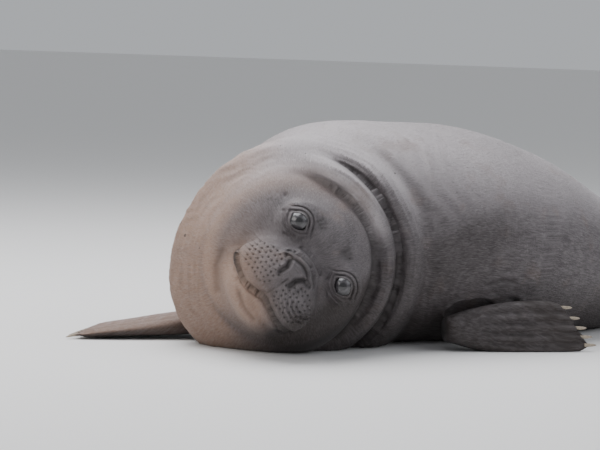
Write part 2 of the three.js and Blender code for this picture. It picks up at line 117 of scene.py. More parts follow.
def head_axes():
    """The head's own directions, and level ones for its folds and marks."""
    c, s = heading(HEAD_TURN)
    rise, lift = heading(HEAD_RAISE)
    nose = np.array((c * rise, s * rise, lift))
    level_side = np.array((-s, c, 0.0))
    level_up = np.cross(nose, level_side)
    c, s = heading(HEAD_ROLL)
    side = level_side * c - level_up * s
    crown = level_up * c + level_side * s
    return side, crown, nose, level_side, level_up


SIDE, CROWN, NOSE, LEVEL_SIDE, LEVEL_UP = head_axes()


def in_head(points):
    """Places in the row as side, crown and nose, measured from between the eyes."""
    offset = points - np.array(BETWEEN_EYES)
    return offset @ SIDE, offset @ CROWN, offset @ NOSE


def from_head(side, crown, nose):
    """The row's places of points given as side, crown and nose."""
    place = np.array(BETWEEN_EYES, float)
    return place + np.outer(side, SIDE) + np.outer(crown, CROWN) + np.outer(nose, NOSE)


def blend(a, b, reach):
    """The nearer of two distances, rounded where they are close."""
    h = np.maximum(reach - np.abs(a - b), 0) / reach
    return np.minimum(a, b) - h * h * reach * 0.25


def smooth(low, high, x):
    """Rises from 0 at low to 1 at high, without corners."""
    t = np.clip((x - low) / (high - low), 0, 1)
    return t * t * (3 - 2 * t)


def hill(x, width):
    """1 at zero, falling off on both sides within about twice the width."""
    return np.exp(-(x * x) / (width * width))


def ellipsoid(a, b, c, half):
    """About the distance to an ellipsoid, below zero inside."""
    k0 = np.sqrt((a / half[0]) ** 2 + (b / half[1]) ** 2 + (c / half[2]) ** 2) + 1e-9
    k1 = np.sqrt((a / half[0] ** 2) ** 2 + (b / half[1] ** 2) ** 2 + (c / half[2] ** 2) ** 2)
    return k0 * (k0 - 1) / np.maximum(k1, 1e-9)


def mass(points, middle, degrees, half):
    """Distance to one ellipsoid that is turned about the upright."""
    c, s = heading(degrees)
    dx = points[:, 0] - middle[0]
    dy = points[:, 1] - middle[1]
    return ellipsoid(dx * c + dy * s, dy * c - dx * s, points[:, 2] - middle[2], half)


def trunk(points):
    """Distance to the trunk and neck, without their folds."""
    d = np.full(len(points), 1e3)
    for middle, degrees, half in TRUNK:
        d = blend(d, mass(points, middle, degrees, half), FLESH_REACH)
    return d


def head_masses(side, crown, nose):
    """Distance to the masses of the head."""
    d = np.full(len(side), 1e3)
    for at, half in HEAD:
        d = blend(d, ellipsoid(side - at[0], crown - at[1], nose - at[2], half), HEAD_REACH)
    for at, half in PAIRED:
        e = ellipsoid(np.abs(side) - at[0], crown - at[1], nose - at[2], half)
        d = blend(d, e, HEAD_REACH * 0.7)
    return d


def round_face(side, crown, nose):
    """How far out from the middle of the face, which way, and 1 on the neck."""
    a = side - ROLL_CENTRE[0]
    b = crown - ROLL_CENTRE[1]
    across = np.hypot(a, b) + 1e-6
    c, s = heading(HEAD_ROLL)
    on_neck = smooth(*NECK_BACK, nose)
    return across, (a * c + b * s) / across, np.maximum((b * c - a * s) / across, 0), on_neck


def fold_at(ring, lean):
    """How strongly the neck is folded here, from 0 to 1."""
    return ring[3] * smooth(-0.35, 0.45, ring[1] - lean * ring[2])


def rolls(d, ring):
    """Adds the rolls of the neck to a distance, and cuts the creases."""
    across = ring[0]
    out = d
    for radius, thick, buried, lean in ROLLS:
        bury = buried + (1 - fold_at(ring, lean)) * (thick + ROLL_REACH - buried)
        out = blend(out, np.hypot(across - radius, d + bury) - thick, ROLL_REACH)
    for radius, depth, width, lean, least in ROLL_CREASES:
        deep = least * ring[3] + (1 - least) * fold_at(ring, lean)
        out = out + deep * depth * hill(across - radius, width)
    return out


# The lines of the face, finer than the solids have them.

LIP_SIDES = (-96, -86, -74, -56, -38, -18, 2, 12, 32, 52, 71, 86, 96)
LIP_CROWNS = (-122, -131, -138, -143, -146, -141, -133, -131, -135, -138, -137, -132, -127)
NOSTRIL = ((16, -80), (15, -65), (21, -54), (34, -52))
# Arched wrinkles over the nose: height, curve, reach to the side, depth, width.
NOSE_ARCHES = ((-18, 0.006, 34, 4.5, 3.2), (-29, 0.0105, 46, 5.0, 3.2), (-41, 0.014, 34, 2.6, 2.6))
EYE_LONG = 16.0
EYE_TALL = 13.2
# Rings round each eye: how far out, with 1 on the opening's rim, then depth and width.
LID_RINGS = ((1.10, -3.6, 0.14), (1.42, 3.6, 0.11), (1.72, -1.8, 0.16), (2.05, 3.0, 0.13))
BROW_MARKS = (
    ((-52, 29), (-50, 40)),
    ((-46, 27), (-42, 38)),
    ((-40, 26), (-35, 33)),
    ((21, 35), (22, 46)),
    ((27, 33), (31, 44)),
    ((33, 34), (38, 41)),
)
PAD_MIDDLE = (47, -94)
EAR = (128, 6)
# Lines in side and crown, depth and width. The first ones are on both sides of the face.
PAIRED_LINES = (
    (((92, 2), (101, -4), (108, -14)), 2.6, 2.4),  # outer corner of the eye
    (((45, -14), (54, -28), (70, -36)), 2.4, 2.4),  # below the inner corner
)
CHIN_FOLD = ((-24, -166), (2, -173), (30, -170))
CHEEK_FOLD = ((-106, -150), (-92, -174), (-52, -198))
LOW_FOLDS = (
    (CHIN_FOLD, 5.0, 4),
    (((-46, -158), (-20, -160)), 3.0, 4),  # below the mouth
    (CHEEK_FOLD, 5.0, 6),
    (((-100, -118), (-108, -134), (-112, -156)), 2.2, 6),  # corner of the mouth
)
WHORL = (62, -76)
WHORL_RADIUS = 28
PHILTRUM = 4
FACE_START = (-125, -105)
MAIN_LIDS = 1.42
OUTER_LIDS = 2.05


def to_line(x, y, line):
    """Distance from each point to a line of short straight lengths."""
    best = np.full(len(x), 1e3)
    for (ax, ay), (bx, by) in zip(line[:-1], line[1:]):
        dx, dy = bx - ax, by - ay
        t = np.clip(((x - ax) * dx + (y - ay) * dy) / (dx * dx + dy * dy), 0, 1)
        best = np.minimum(best, np.hypot(x - ax - t * dx, y - ay - t * dy))
    return best


def lip_line(side):
    """Height of the line where the lips meet."""
    return np.interp(side, LIP_SIDES, LIP_CROWNS)


def from_lids(side, crown):
    """1 on the rim of the eye's opening, growing outwards, with its corners drawn out."""
    ex = (np.abs(side) - EYE_SPACING / 2) / EYE_LONG
    ey = crown / EYE_TALL
    return np.hypot(ex * (1 - 0.16 * np.exp(-(ey**2) * 6)), ey + 0.12 * ex * ex)


def whisker_pits():
    """Places of the whiskers of one pad, in rows that run back from the nose."""
    pits = []
    for row in range(7):
        for place in range(8):
            side = 12 + 9.6 * place + 4.0 * (row % 2) + 1.4 * math.sin(3.1 * row + place)
            crown = -64 - 9.2 * row - 0.004 * (side - 46) ** 2 + 1.2 * math.sin(row + 2.3 * place)
            if ((side - 46) / 41) ** 2 + ((crown + 95) / 34) ** 2 < 1:
                pits.append((side, crown))
    return pits


def near_spots(x, y, spots, width):
    """1 on any of the spots, falling off within the width."""
    out = np.zeros(len(x))
    for sx, sy in spots:
        close = (np.abs(x - sx) < 3 * width) & (np.abs(y - sy) < 3 * width)
        out[close] += hill(np.hypot(x[close] - sx, y[close] - sy), width)
    return np.minimum(out, 1)


def face_lines(side, crown, nose):
    """Depth cut into the face, below zero where it is raised."""
    half = np.abs(side)
    lip = lip_line(side)
    fade = 1 - smooth(84, 96, half)
    cut = fade * (8 * hill(crown - lip, 2.6) + 3.5 * hill(crown - lip, 8))
    cut -= 2.4 * fade * hill(crown - lip - 11, 5) + 3.0 * fade * hill(crown - lip + 12, 7)
    middle = 2.4 * hill(side - PHILTRUM, 1.8) * smooth(-134, -128, crown)
    cut += middle * (1 - smooth(-84, -68, crown))
    slit = to_line(half, crown, NOSTRIL)
    cut += 8 * hill(slit, 2.3) + 1.5 * hill(slit, 6) - 2.4 * hill(slit - 8, 3)
    for height, curve, reach, depth, width in NOSE_ARCHES:
        line = height - curve * (side - 2) ** 2
        ends = 1 - smooth(reach - 10, reach, half)
        cut += depth * hill(crown - line, width) * ends
        cut -= 0.6 * depth * hill(crown - line + 6, width) * ends
    rim = from_lids(side, crown)
    upper = smooth(-0.35, 0.45, crown / (EYE_TALL * rim + 1e-6))
    lower = smooth(0.0, 0.8, -crown / (EYE_TALL * rim + 1e-6))
    shares = (1, 0.35 + 0.65 * upper, 1, np.maximum(upper, lower))
    for (place, depth, width), share in zip(LID_RINGS, shares):
        cut += depth * hill(rim - place, width) * share
    for line, depth, width in PAIRED_LINES:
        cut += depth * hill(to_line(half, crown, line), width)
    for mark in BROW_MARKS:
        cut += 2.6 * hill(to_line(side, crown, mark), 1.8)
    cut += 2.2 * near_spots(half, crown, whisker_pits(), 1.9)
    swirl = np.hypot(side - WHORL[0], crown - WHORL[1])
    turn = np.arctan2(crown - WHORL[1], side - WHORL[0])
    whorl = smooth(-2.9, -2.2, turn) * (1 - smooth(-0.5, 0.3, turn))
    cut += 2.6 * np.sin(swirl * 0.8) * whorl * hill(swirl - WHORL_RADIUS, 15)
    for line, depth, width in LOW_FOLDS:
        cut += depth * hill(to_line(side, crown, line), width)
    cut += 5 * hill(np.hypot(half - EAR[0], crown - EAR[1]), 4)
    return cut * smooth(*FACE_START, nose)


def neck_wrinkles(side, crown, nose):
    """Fine folds round the face on the throat, and a few across the nape."""
    across, folded, _, on_neck = round_face(side, crown, nose)
    throat = (1 - smooth(-0.6, 0.2, folded)) * smooth(150, 175, across) * (1 - smooth(228, 262, across))
    throat = throat * on_neck
    drift = 7 * np.sin(0.031 * side + 1.3) + 6 * np.sin(0.037 * crown + 0.021 * nose)
    turn = np.arctan2(crown - ROLL_CENTRE[1], side - ROLL_CENTRE[0])
    broken = 0.55 + 0.45 * np.sin(17 * turn + 0.06 * across + 2 * np.sin(0.05 * across))
    cut = 1.0 * broken * np.sin((across + drift) * 2 * math.pi / 15.0) * throat
    cut += 0.6 * (1.2 - broken) * np.sin((across - 2.4 * drift) * 2 * math.pi / 9.0) * throat
    ringed = smooth(0.0, 0.6, folded) * smooth(168, 178, across) * (1 - smooth(245, 262, across))
    cut += 1.1 * np.sin((across + 0.5 * drift) * 2 * math.pi / 10.5) * ringed
    flank = smooth(0.3, 0.8, folded) * smooth(238, 262, across) * (1 - smooth(300, 420, across))
    cut += 0.9 * np.sin((across + 2 * drift) * 2 * math.pi / 34.0) * flank
    return cut


SHOULDER_MIDDLE = (-10, 230, 90)
SHOULDER_REACH = 190
# Folds of the shoulder over the left fore flipper: line, depth, width.
SHOULDER_FOLDS = (
    (((70, 217, 66), (60, 228, 79), (27, 241, 95), (-20, 252, 101), (-107, 231, 91)), 8, 4.5),
    (((-16, 227, 125), (-43, 239, 136), (-75, 246, 132)), 3.5, 5),
    (((60, 228, 79), (73, 209, 53), (62, 180, 22)), 5, 6),
    (((52, 247, 68), (23, 262, 86), (-16, 277, 91)), 3, 4),
)


def to_path(points, path):
    """Distance from each point to a path in space."""
    best = np.full(len(points), 1e3)
    for a, b in zip(path[:-1], path[1:]):
        a = np.array(a, float)
        step = np.array(b, float) - a
        t = np.clip((points - a) @ step / (step @ step), 0, 1)
        best = np.minimum(best, np.linalg.norm(points - a - t[:, None] * step, axis=1))
    return best


def shoulder_folds(points):
    """Depth cut by the folds over the left fore flipper."""
    cut = np.zeros(len(points))
    near = np.linalg.norm(points - np.array(SHOULDER_MIDDLE), axis=1) < SHOULDER_REACH
    for path, depth, width in SHOULDER_FOLDS:
        away = to_path(points[near], path)
        cut[near] += depth * (hill(away, width) - 0.55 * hill(away - 2.4 * width, 1.6 * width))
    return cut


COAT_ROOM = 1.6  # how far the skin lies inside the solids
WRINKLES_BACK = -420
FACE_BACK = -260
NEAR_SKIN = 60
PLAIN_REACH = 60
PLAIN_INSET = 8


def body_form(points):
    """Distance to the skin of body and head, below zero inside."""
    side, crown, nose = in_head(points)
    ring = round_face(side, crown, nose)
    d = rolls(trunk(points), ring)
    d = blend(d, mass(points, *ARM), ARM_REACH)
    near = (nose > WRINKLES_BACK) & (d < NEAR_SKIN)
    lines = np.zeros(len(points))
    lines[near] = neck_wrinkles(side[near], crown[near], nose[near])
    d = d + lines + shoulder_folds(points)
    face = nose > FACE_BACK
    masses = head_masses(side[face], crown[face], nose[face])
    masses += face_lines(side[face], crown[face], nose[face])
    reach = CHEEK_REACH - (CHEEK_REACH - CREASE_REACH) * fold_at(ring, 0.1)
    d[face] = blend(d[face], masses, reach[face])
    return d + COAT_ROOM


def plain_form(points):
    """A simpler and smaller body, on which the net starts."""
    side, crown, nose = in_head(points)
    return blend(trunk(points), head_masses(side, crown, nose), PLAIN_REACH) - PLAIN_INSET


# Meshes of the body.

PROBE = 0.4  # how far to each side the form's slope is read
NET_LOW = (-930, -420, -150)
NET_HIGH = (640, 480, 560)
NET_CELL = 12.0
REFINE_ROUNDS = 3
SKIN_CLEAR = 1.2  # height of the skin's lowest points over the floor
COAT_CLEAR = 0.4
WHISKER_CLEAR = 0.5

# Lengths of edge wanted on the skin.
TRUNK_EDGE = 15.5
GROUND_EDGE = 15.0
NECK_EDGE = 10.0
RING_EDGE = 5.6
SHOULDER_EDGE = 5.5
THROAT_EDGE = 5.2
FACE_EDGE = 5.1
FINE_EDGE = 2.15


def settle(points, limit, rounds=3):
    """Moves points on to the skin, by no more than the limit each round."""
    points = points.copy()
    for _ in range(rounds):
        d = body_form(points)
        slope = np.empty_like(points)
        for axis in range(3):
            step = np.zeros(3)
            step[axis] = PROBE
            slope[:, axis] = (body_form(points + step) - body_form(points - step)) / (2 * PROBE)
        size = np.maximum((slope**2).sum(1), 0.2)
        points -= slope * np.clip(d / size, -limit, limit)[:, None]
    return points


def net_of(form, low, high, cell):
    """A closed net of four-sided cells round the form, cut into triangles."""
    counts = [int(math.ceil((h - l) / cell)) + 1 for l, h in zip(low, high)]
    lines = [l + cell * np.arange(n) for l, n in zip(low, counts)]
    grid = np.stack(np.meshgrid(*lines, indexing="ij"), -1).reshape(-1, 3)
    inside = np.concatenate([form(part) < 0 for part in np.array_split(grid, 24)])
    inside = inside.reshape(counts)
    total = np.zeros([n - 1 for n in counts], int)
    for corner in range(8):
        i, j, k = corner & 1, corner >> 1 & 1, corner >> 2
        nx, ny, nz = total.shape
        total += inside[i : i + nx, j : j + ny, k : k + nz]
    crossed = (total > 0) & (total < 8)
    number = np.full(total.shape, -1)
    number[crossed] = np.arange(crossed.sum())
    points = (np.argwhere(crossed) + 0.5) * cell + np.array(low)
    quads = []
    for axis in range(3):
        b = np.roll(inside, -1, axis)
        change = np.argwhere(inside != b)
        keep = np.all((change > 0) & (change < np.array(counts) - 1), axis=1)
        change = change[keep]
        u = np.zeros(3, int)
        v = np.zeros(3, int)
        u[(axis + 1) % 3] = 1
        v[(axis + 2) % 3] = 1
        around = [change - u - v, change - v, change, change - u]
        quad = np.stack([number[tuple(c.T)] for c in around], 1)
        flip = b[tuple(change.T)]
        quad[flip] = quad[flip][:, ::-1]
        quads.append(quad)
    quads = np.concatenate(quads)
    return points, np.concatenate([quads[:, [0, 1, 2]], quads[:, [0, 2, 3]]])


def edges_of(faces):
    """The edges of triangles, and each triangle's own three among them."""
    pairs = np.sort(faces[:, [0, 1, 1, 2, 2, 0]].reshape(-1, 2), axis=1)
    key = pairs[:, 0].astype(np.int64) * (faces.max() + 1) + pairs[:, 1]
    _, first, index = np.unique(key, return_index=True, return_inverse=True)
    return pairs[first], index


def relax(points, faces, rounds, limit):
    """Evens out the net, and puts each vertex back on the form."""
    edges, _ = edges_of(faces)
    ends = np.concatenate([edges[:, 0], edges[:, 1]])
    others = np.concatenate([edges[:, 1], edges[:, 0]])
    count = np.bincount(ends, minlength=len(points))
    for _ in range(rounds):
        middle = np.stack(
            [np.bincount(ends, points[others, k], len(points)) / count for k in range(3)], 1
        )
        points = settle(0.5 * (points + middle), limit, 1)
    return points


def refine(points, faces, wanted):
    """Splits each edge that is longer than wanted at its middle."""
    edges, index = edges_of(faces)
    middle = 0.5 * (points[edges[:, 0]] + points[edges[:, 1]])
    length = np.linalg.norm(points[edges[:, 0]] - points[edges[:, 1]], axis=1)
    long = length > wanted(middle)
    number = np.full(len(edges), -1)
    number[long] = len(points) + np.arange(long.sum())
    points = np.concatenate([points, middle[long]])
    m = number[index].reshape(-1, 3)
    count = (m >= 0).sum(1)
    out = [faces[count == 0]]
    f, k = faces[count == 3], m[count == 3]
    out += [np.stack([f[:, 0], k[:, 0], k[:, 2]], 1), np.stack([k[:, 0], f[:, 1], k[:, 1]], 1)]
    out += [np.stack([k[:, 2], k[:, 1], f[:, 2]], 1), k]
    for i in range(3):
        one = (count == 1) & (m[:, i] >= 0)
        p, q, r = (faces[one][:, (i + n) % 3] for n in range(3))
        cut = m[one][:, i]
        out += [np.stack([p, cut, r], 1), np.stack([cut, q, r], 1)]
        two = (count == 2) & (m[:, i] < 0)
        p, q, r = (faces[two][:, (i + n) % 3] for n in range(3))
        qr = m[two][:, (i + 1) % 3]
        rp = m[two][:, (i + 2) % 3]
        out += [np.stack([r, rp, qr], 1), np.stack([p, q, qr], 1), np.stack([p, qr, rp], 1)]
    return points, np.concatenate(out)


def wanted_detail(points):
    """Length of edge wanted at each place of the skin."""
    side, crown, nose = in_head(points)
    half = np.abs(side)
    across, folded, _, _ = round_face(side, crown, nose)
    out = np.full(len(points), TRUNK_EDGE)
    neck = (nose > -330) & (across < 300)
    out[neck] = NECK_EDGE
    throat = neck & (folded < 0.1) & (across > 150) & (across < 265) & (points[:, 2] > 4)
    out[throat] = THROAT_EDGE
    ring = neck & (folded > -0.3) & (across > 150) & (across < 260)
    out[ring] = RING_EDGE
    face = nose > -118
    out[face] = FACE_EDGE
    eye = face & (np.hypot(half - EYE_SPACING / 2, crown) < 36)
    pad = face & (np.hypot(half - PAD_MIDDLE[0], crown - PAD_MIDDLE[1]) < 40)
    snout = face & (half < 46) & (crown < -8) & (crown > -92)
    mouth = face & (np.abs(crown - lip_line(side)) < 12) & (half < 98)
    out[eye | pad | snout | mouth] = FINE_EDGE
    out[np.linalg.norm(points - np.array((-10, 235, 95)), axis=1) < 120] = SHOULDER_EDGE
    out[points[:, 2] < 1] = GROUND_EDGE
    return out


def mesh_piece(name, points, faces):
    """A new object from points in millimetres and triangles."""
    mesh = bpy.data.meshes.new(name)
    mesh.vertices.add(len(points))
    mesh.vertices.foreach_set("co", (np.asarray(points) / 1000).astype(np.float32).ravel())
    mesh.loops.add(len(faces) * 3)
    mesh.loops.foreach_set("vertex_index", np.asarray(faces, np.int32).ravel())
    mesh.polygons.add(len(faces))
    mesh.polygons.foreach_set("loop_start", np.arange(0, len(faces) * 3, 3, dtype=np.int32))
    mesh.polygons.foreach_set("use_smooth", np.full(len(faces), True))
    mesh.update(calc_edges=True)
    mesh.validate()
    piece = bpy.data.objects.new(name, mesh)
    bpy.context.scene.collection.objects.link(piece)
    return piece


def points_of(mesh):
    """A mesh's vertices in millimetres."""
    flat = np.empty(len(mesh.vertices) * 3, np.float32)
    mesh.vertices.foreach_get("co", flat)
    return flat.reshape(-1, 3).astype(float) * 1000


def rings_mesh(rings):
    """Closes rings of points, each with the same count, with a fan at either end."""
    count = len(rings[0])
    points = [p for ring in rings for p in ring]
    faces = []
    for i in range(len(rings) - 1):
        for j in range(count):
            a = i * count + j
            b = i * count + (j + 1) % count
            faces += [(a, b, b + count), (a, b + count, a + count)]
    for end in (0, len(rings) - 1):
        points.append(np.mean(rings[end], axis=0))
        for j in range(count):
            a = end * count + j
            b = end * count + (j + 1) % count
            faces.append((b, a, len(points) - 1) if end == 0 else (a, b, len(points) - 1))
    return np.array(points), np.array(faces)


# Flippers.

DIGITS = 5
RIDGE = 0.22
# Widths and thicknesses are at the root, the middle and the tip. The web is how far the edge
# is cut back between the digits, and shorter is how much the last digit falls behind.
FLIPPERS = (
    {
        "name": "fore_flipper_left",
        "root": (70, 200, 42),
        "tip": (-176, 362, 47),
        "lead": (-0.1, 0.25, -0.95),
        "wide": (46, 108, 84),
        "thick": (64, 34, 12),
        "web": 0.07,
        "shorter": 0.2,
    },
    {
        "name": "fore_flipper_right",
        "root": (300, -175, 36),
        "tip": (583, -330, 8),
        "lead": (0.468, 0.885, 0.0),
        "wide": (84, 112, 92),
        "thick": (62, 30, 14),
        "web": 0.07,
        "shorter": 0.2,
    },
    {
        "name": "hind_flipper_left",
        "root": (-650, 92, 62),
        "tip": (-936, 132, 66),
        "lead": (0, 0.25, -0.97),
        "wide": (62, 100, 150),
        "thick": (50, 30, 12),
        "web": 0.2,
        "shorter": 0,
    },
    {
        "name": "hind_flipper_right",
        "root": (-650, 20, 62),
        "tip": (-936, -22, 66),
        "lead": (0, -0.25, -0.97),
        "wide": (62, 100, 150),
        "thick": (50, 30, 12),
        "web": 0.2,
        "shorter": 0,
    },
)


def through(abc, t):
    """A smooth value with the three sizes at the root, the middle and the tip."""
    a, b, c = abc
    return a + t * (4 * b - 3 * a - c) + t * t * (2 * a + 2 * c - 4 * b)


def reach_at(blade, place):
    """How far out a blade reaches, between its digits and along them."""
    webbed = blade["web"] * (1 - abs(math.sin(math.pi * DIGITS * place)))
    middle = 0.16 * math.sin(math.pi * place) if blade["shorter"] == 0 else 0
    return 1 - blade["shorter"] * place**1.5 - middle - webbed


def flipper_frame(blade):
    """Root, length, leading direction and flat side of a blade."""
    root = np.array(blade["root"], float)
    along = np.array(blade["tip"], float) - root
    lead = np.array(blade["lead"], float)
    lead -= along * (lead @ along) / (along @ along)
    lead /= np.linalg.norm(lead)
    flat = np.cross(along, lead)
    return root, along, lead, flat / np.linalg.norm(flat)


def flipper_point(blade, axes, t, place, face):
    """A point of the blade; the face is 1 or -1, or 0 for its middle."""
    root, along, lead, flat = axes
    s = t * reach_at(blade, place)
    across = (0.5 - place) * through(blade["wide"], s)
    edge = math.sqrt(max(0, 1 - (2 * place - 1) ** 2))
    rise = float(smooth(0.15, 0.5, s))
    ridge = 1 + RIDGE * rise * (1 - 2 * math.cos(math.pi * DIGITS * place) ** 2)
    thin = 1 - 0.75 * float(smooth(0.9, 1, t))
    half = 0.5 * through(blade["thick"], s) * edge**0.6 * ridge * thin - 0.3 * edge
    return root + along * s + lead * across + flat * (face * half)


def flipper_mesh(blade, rings=28, steps=44):
    """A closed blade with a ridge along each digit."""
    axes = flipper_frame(blade)
    out = []
    for i in range(rings + 1):
        t = i / rings
        t = 1 - (1 - t) ** 1.25
        ring = [flipper_point(blade, axes, t, j / steps, 1) for j in range(steps)]
        ring += [flipper_point(blade, axes, t, j / steps, -1) for j in range(steps, 0, -1)]
        out.append(ring)
    points, faces = rings_mesh(out)
    points[:, 2] = np.maximum(points[:, 2], SKIN_CLEAR)
    return points, faces


CLAW_LONG = 26
CLAW_WIDE = 8
CLAW_THICK = 6
CLAW_DROP = 3
CLAW_SUNK = 9


def claw_mesh(blade, digit, steps=14, sides=18):
    """One grooved claw, sunk into the tip of its digit."""
    axes = flipper_frame(blade)
    _, along, lead, flat = axes
    ahead = along / np.linalg.norm(along)
    start = flipper_point(blade, axes, 1, (digit - 0.5) / DIGITS, 0) - ahead * CLAW_SUNK
    bend = -CLAW_DROP * math.copysign(1, flat[2] + 0.01)
    rings = []
    for i in range(steps + 1):
        t = i / steps
        size = math.sqrt(1 - 0.985 * t * t)
        middle = start + ahead * (CLAW_LONG * t) + flat * (bend * t * t)
        ring = []
        for j in range(sides):
            turn = 2 * math.pi * j / sides
            groove = 1 - 0.07 * (1 - t) * math.cos(4 * turn)
            wide = 0.5 * CLAW_WIDE * size * math.cos(turn) * groove
            thick = 0.5 * CLAW_THICK * size * math.sin(turn) * groove
            ring.append(middle + lead * wide + flat * thick)
        rings.append(ring)
    return rings_mesh(rings)


# Marks, painted light and shade, and coat directions that the skin carries.

FACE_MIDDLE = ([ROLL_CENTRE[0]], [ROLL_CENTRE[1]], [-120])
NOSE_TIP = ([0], [-56], [10])
CHIN = (4, -166)
CHEEK = (-72, -150)
VALLEY = 212  # radius of the valley between the two rolls
FAR_SIDE = -120
FLIPPER_REACH = 220
TRUNK_RADIUS = 0.19
FACE_EDGE_RADIUS = 165
TAIL_END = (-780, 60, 66)
SPINE = np.array([from_head(*FACE_MIDDLE)[0]] + [m[0] for m in TRUNK[1:]] + [TAIL_END], float)

# Where the pieces of the coat meet.
FACE_RADIUS = 172
NAPE_START = -20
NECK_END = -235
REGION_ENDS = (60, -150, -400)


def along_spine(points):
    """Distance along the spine, the direction to the tail, and the angle round it."""
    best = np.full(len(points), 1e9)
    travel = np.zeros(len(points))
    tail = np.zeros_like(points)
    foot = np.zeros_like(points)
    gone = 0.0
    for a, b in zip(SPINE[:-1], SPINE[1:]):
        step = b - a
        long = np.linalg.norm(step)
        t = np.clip((points - a) @ step / long**2, 0, 1)
        near = a + t[:, None] * step
        d = np.linalg.norm(points - near, axis=1)
        closer = d < best
        best[closer] = d[closer]
        travel[closer] = gone + t[closer] * long
        tail[closer] = step / long
        foot[closer] = near[closer]
        gone += long
    out = points - foot
    across = np.cross(tail, (0, 0, 1.0))
    turn = np.arctan2((out * across).sum(1), out[:, 2])
    return travel, tail, turn


class SkinPlaces:
    """Where the skin's vertices lie, as the marks and the coat need it."""

    def __init__(self, points, normals):
        self.points = points
        self.normals = normals
        self.side, self.crown, self.nose = in_head(points)
        self.half = np.abs(self.side)
        self.ring = round_face(self.side, self.crown, self.nose)
        self.across, self.folded, self.upper, _ = self.ring
        self.offset = points - from_head(*FACE_MIDDLE)
        self.right = self.offset @ LEVEL_SIDE
        self.height = points[:, 2]
        self.flipper = smooth(2, 8, body_form(points))
        in_face = smooth(-150, -110, self.nose) * (1 - smooth(158, 172, self.across))
        self.on_face = in_face * (1 - self.flipper)
        self.on_front = smooth(*FACE_START, self.nose)
        self.near_head = smooth(-420, -180, self.nose)
        self.lit = smooth(-0.25, 0.85, normals[:, 2])
        self.on_far_side = points[:, 1] < FAR_SIDE
        self.from_lip = np.abs(self.crown - lip_line(self.side))
        self.from_pad = np.hypot(self.half - PAD_MIDDLE[0], self.crown - PAD_MIDDLE[1])
        self.rim = from_lids(self.side, self.crown)


def warm_marks(at):
    """Sandy throat, chin and cheek, and a warm rim round the face."""
    warm = smooth(-560, -170, at.nose) * (1 - smooth(-150, 10, at.right)) * (1 - 0.75 * at.on_face)
    chin = at.on_face * hill(np.hypot((at.side - CHIN[0]) / 1.6, at.crown - CHIN[1]), 34)
    cheek = at.on_face * hill(np.hypot(at.side - CHEEK[0], (at.crown - CHEEK[1]) / 1.3), 44)
    rim = at.near_head * hill(at.across - 160, 26) * smooth(-0.9, -0.2, at.normals @ LEVEL_UP)
    warm = np.maximum(warm, 0.8 * rim * (1 - at.folded) * 0.5)
    return np.clip(warm + chin + 0.6 * cheek, 0, 1)


def pale_and_highlight_marks(at):
    """Silver hairs on the back, lightened where the skin faces up and stands higher as painted top
    light, a painted highlight along the roll over the brow, the greyer pads, and painted wet sheen on
    the far flipper's lit side.
    """
    # Painted top light: lighter where the skin faces up and is higher off the floor.
    pale = at.lit * (1 - at.on_face) * (0.8 + 0.2 * at.near_head) * smooth(60, 300, at.height)
    pale = np.maximum(pale, 0.1 * (1 - at.on_face) * smooth(20, 160, at.height))
    # Painted highlight along the top of the roll over the brow.
    crest_highlight = at.near_head * hill(at.across - 180, 24) * smooth(0.0, 0.45, at.upper)
    pads = at.on_face * hill(at.from_pad, 36)
    pale = np.maximum(pale, np.maximum(crest_highlight, 0.45 * pads))
    # Painted wet sheen on the lit side of the far fore flipper.
    return np.clip(np.maximum(pale, 0.75 * at.flipper * at.lit * at.on_far_side), 0, 1)


def dark_and_shade_marks(at, warm):
    """Painted shade that darkens the flanks towards the floor and the lower face and jowl near the
    ground, and the dark flippers.
    """
    # Painted shade, darker towards the floor.
    dark = 0.78 * (1 - smooth(30, 190, at.height)) * (1 - 0.7 * warm)
    # Painted shade on the lower face and jowl near the ground.
    slope = at.offset @ LEVEL_UP - 0.55 * at.right
    jowl = smooth(-330, -200, at.nose) * (1 - smooth(-128, -84, slope)) * smooth(-80, -25, at.right)
    dark = np.maximum(dark, 0.95 * jowl * (1 - 0.45 * (1 - at.on_face)))
    fore = smooth(-520, -480, at.points[:, 0])
    dark = np.maximum(dark, at.flipper * (0.9 - 0.2 * (1 - fore)))
    # The far fore flipper's lit side is kept light, as painted wet sheen.
    return dark * (1 - 0.75 * at.flipper * (at.lit * at.on_far_side))


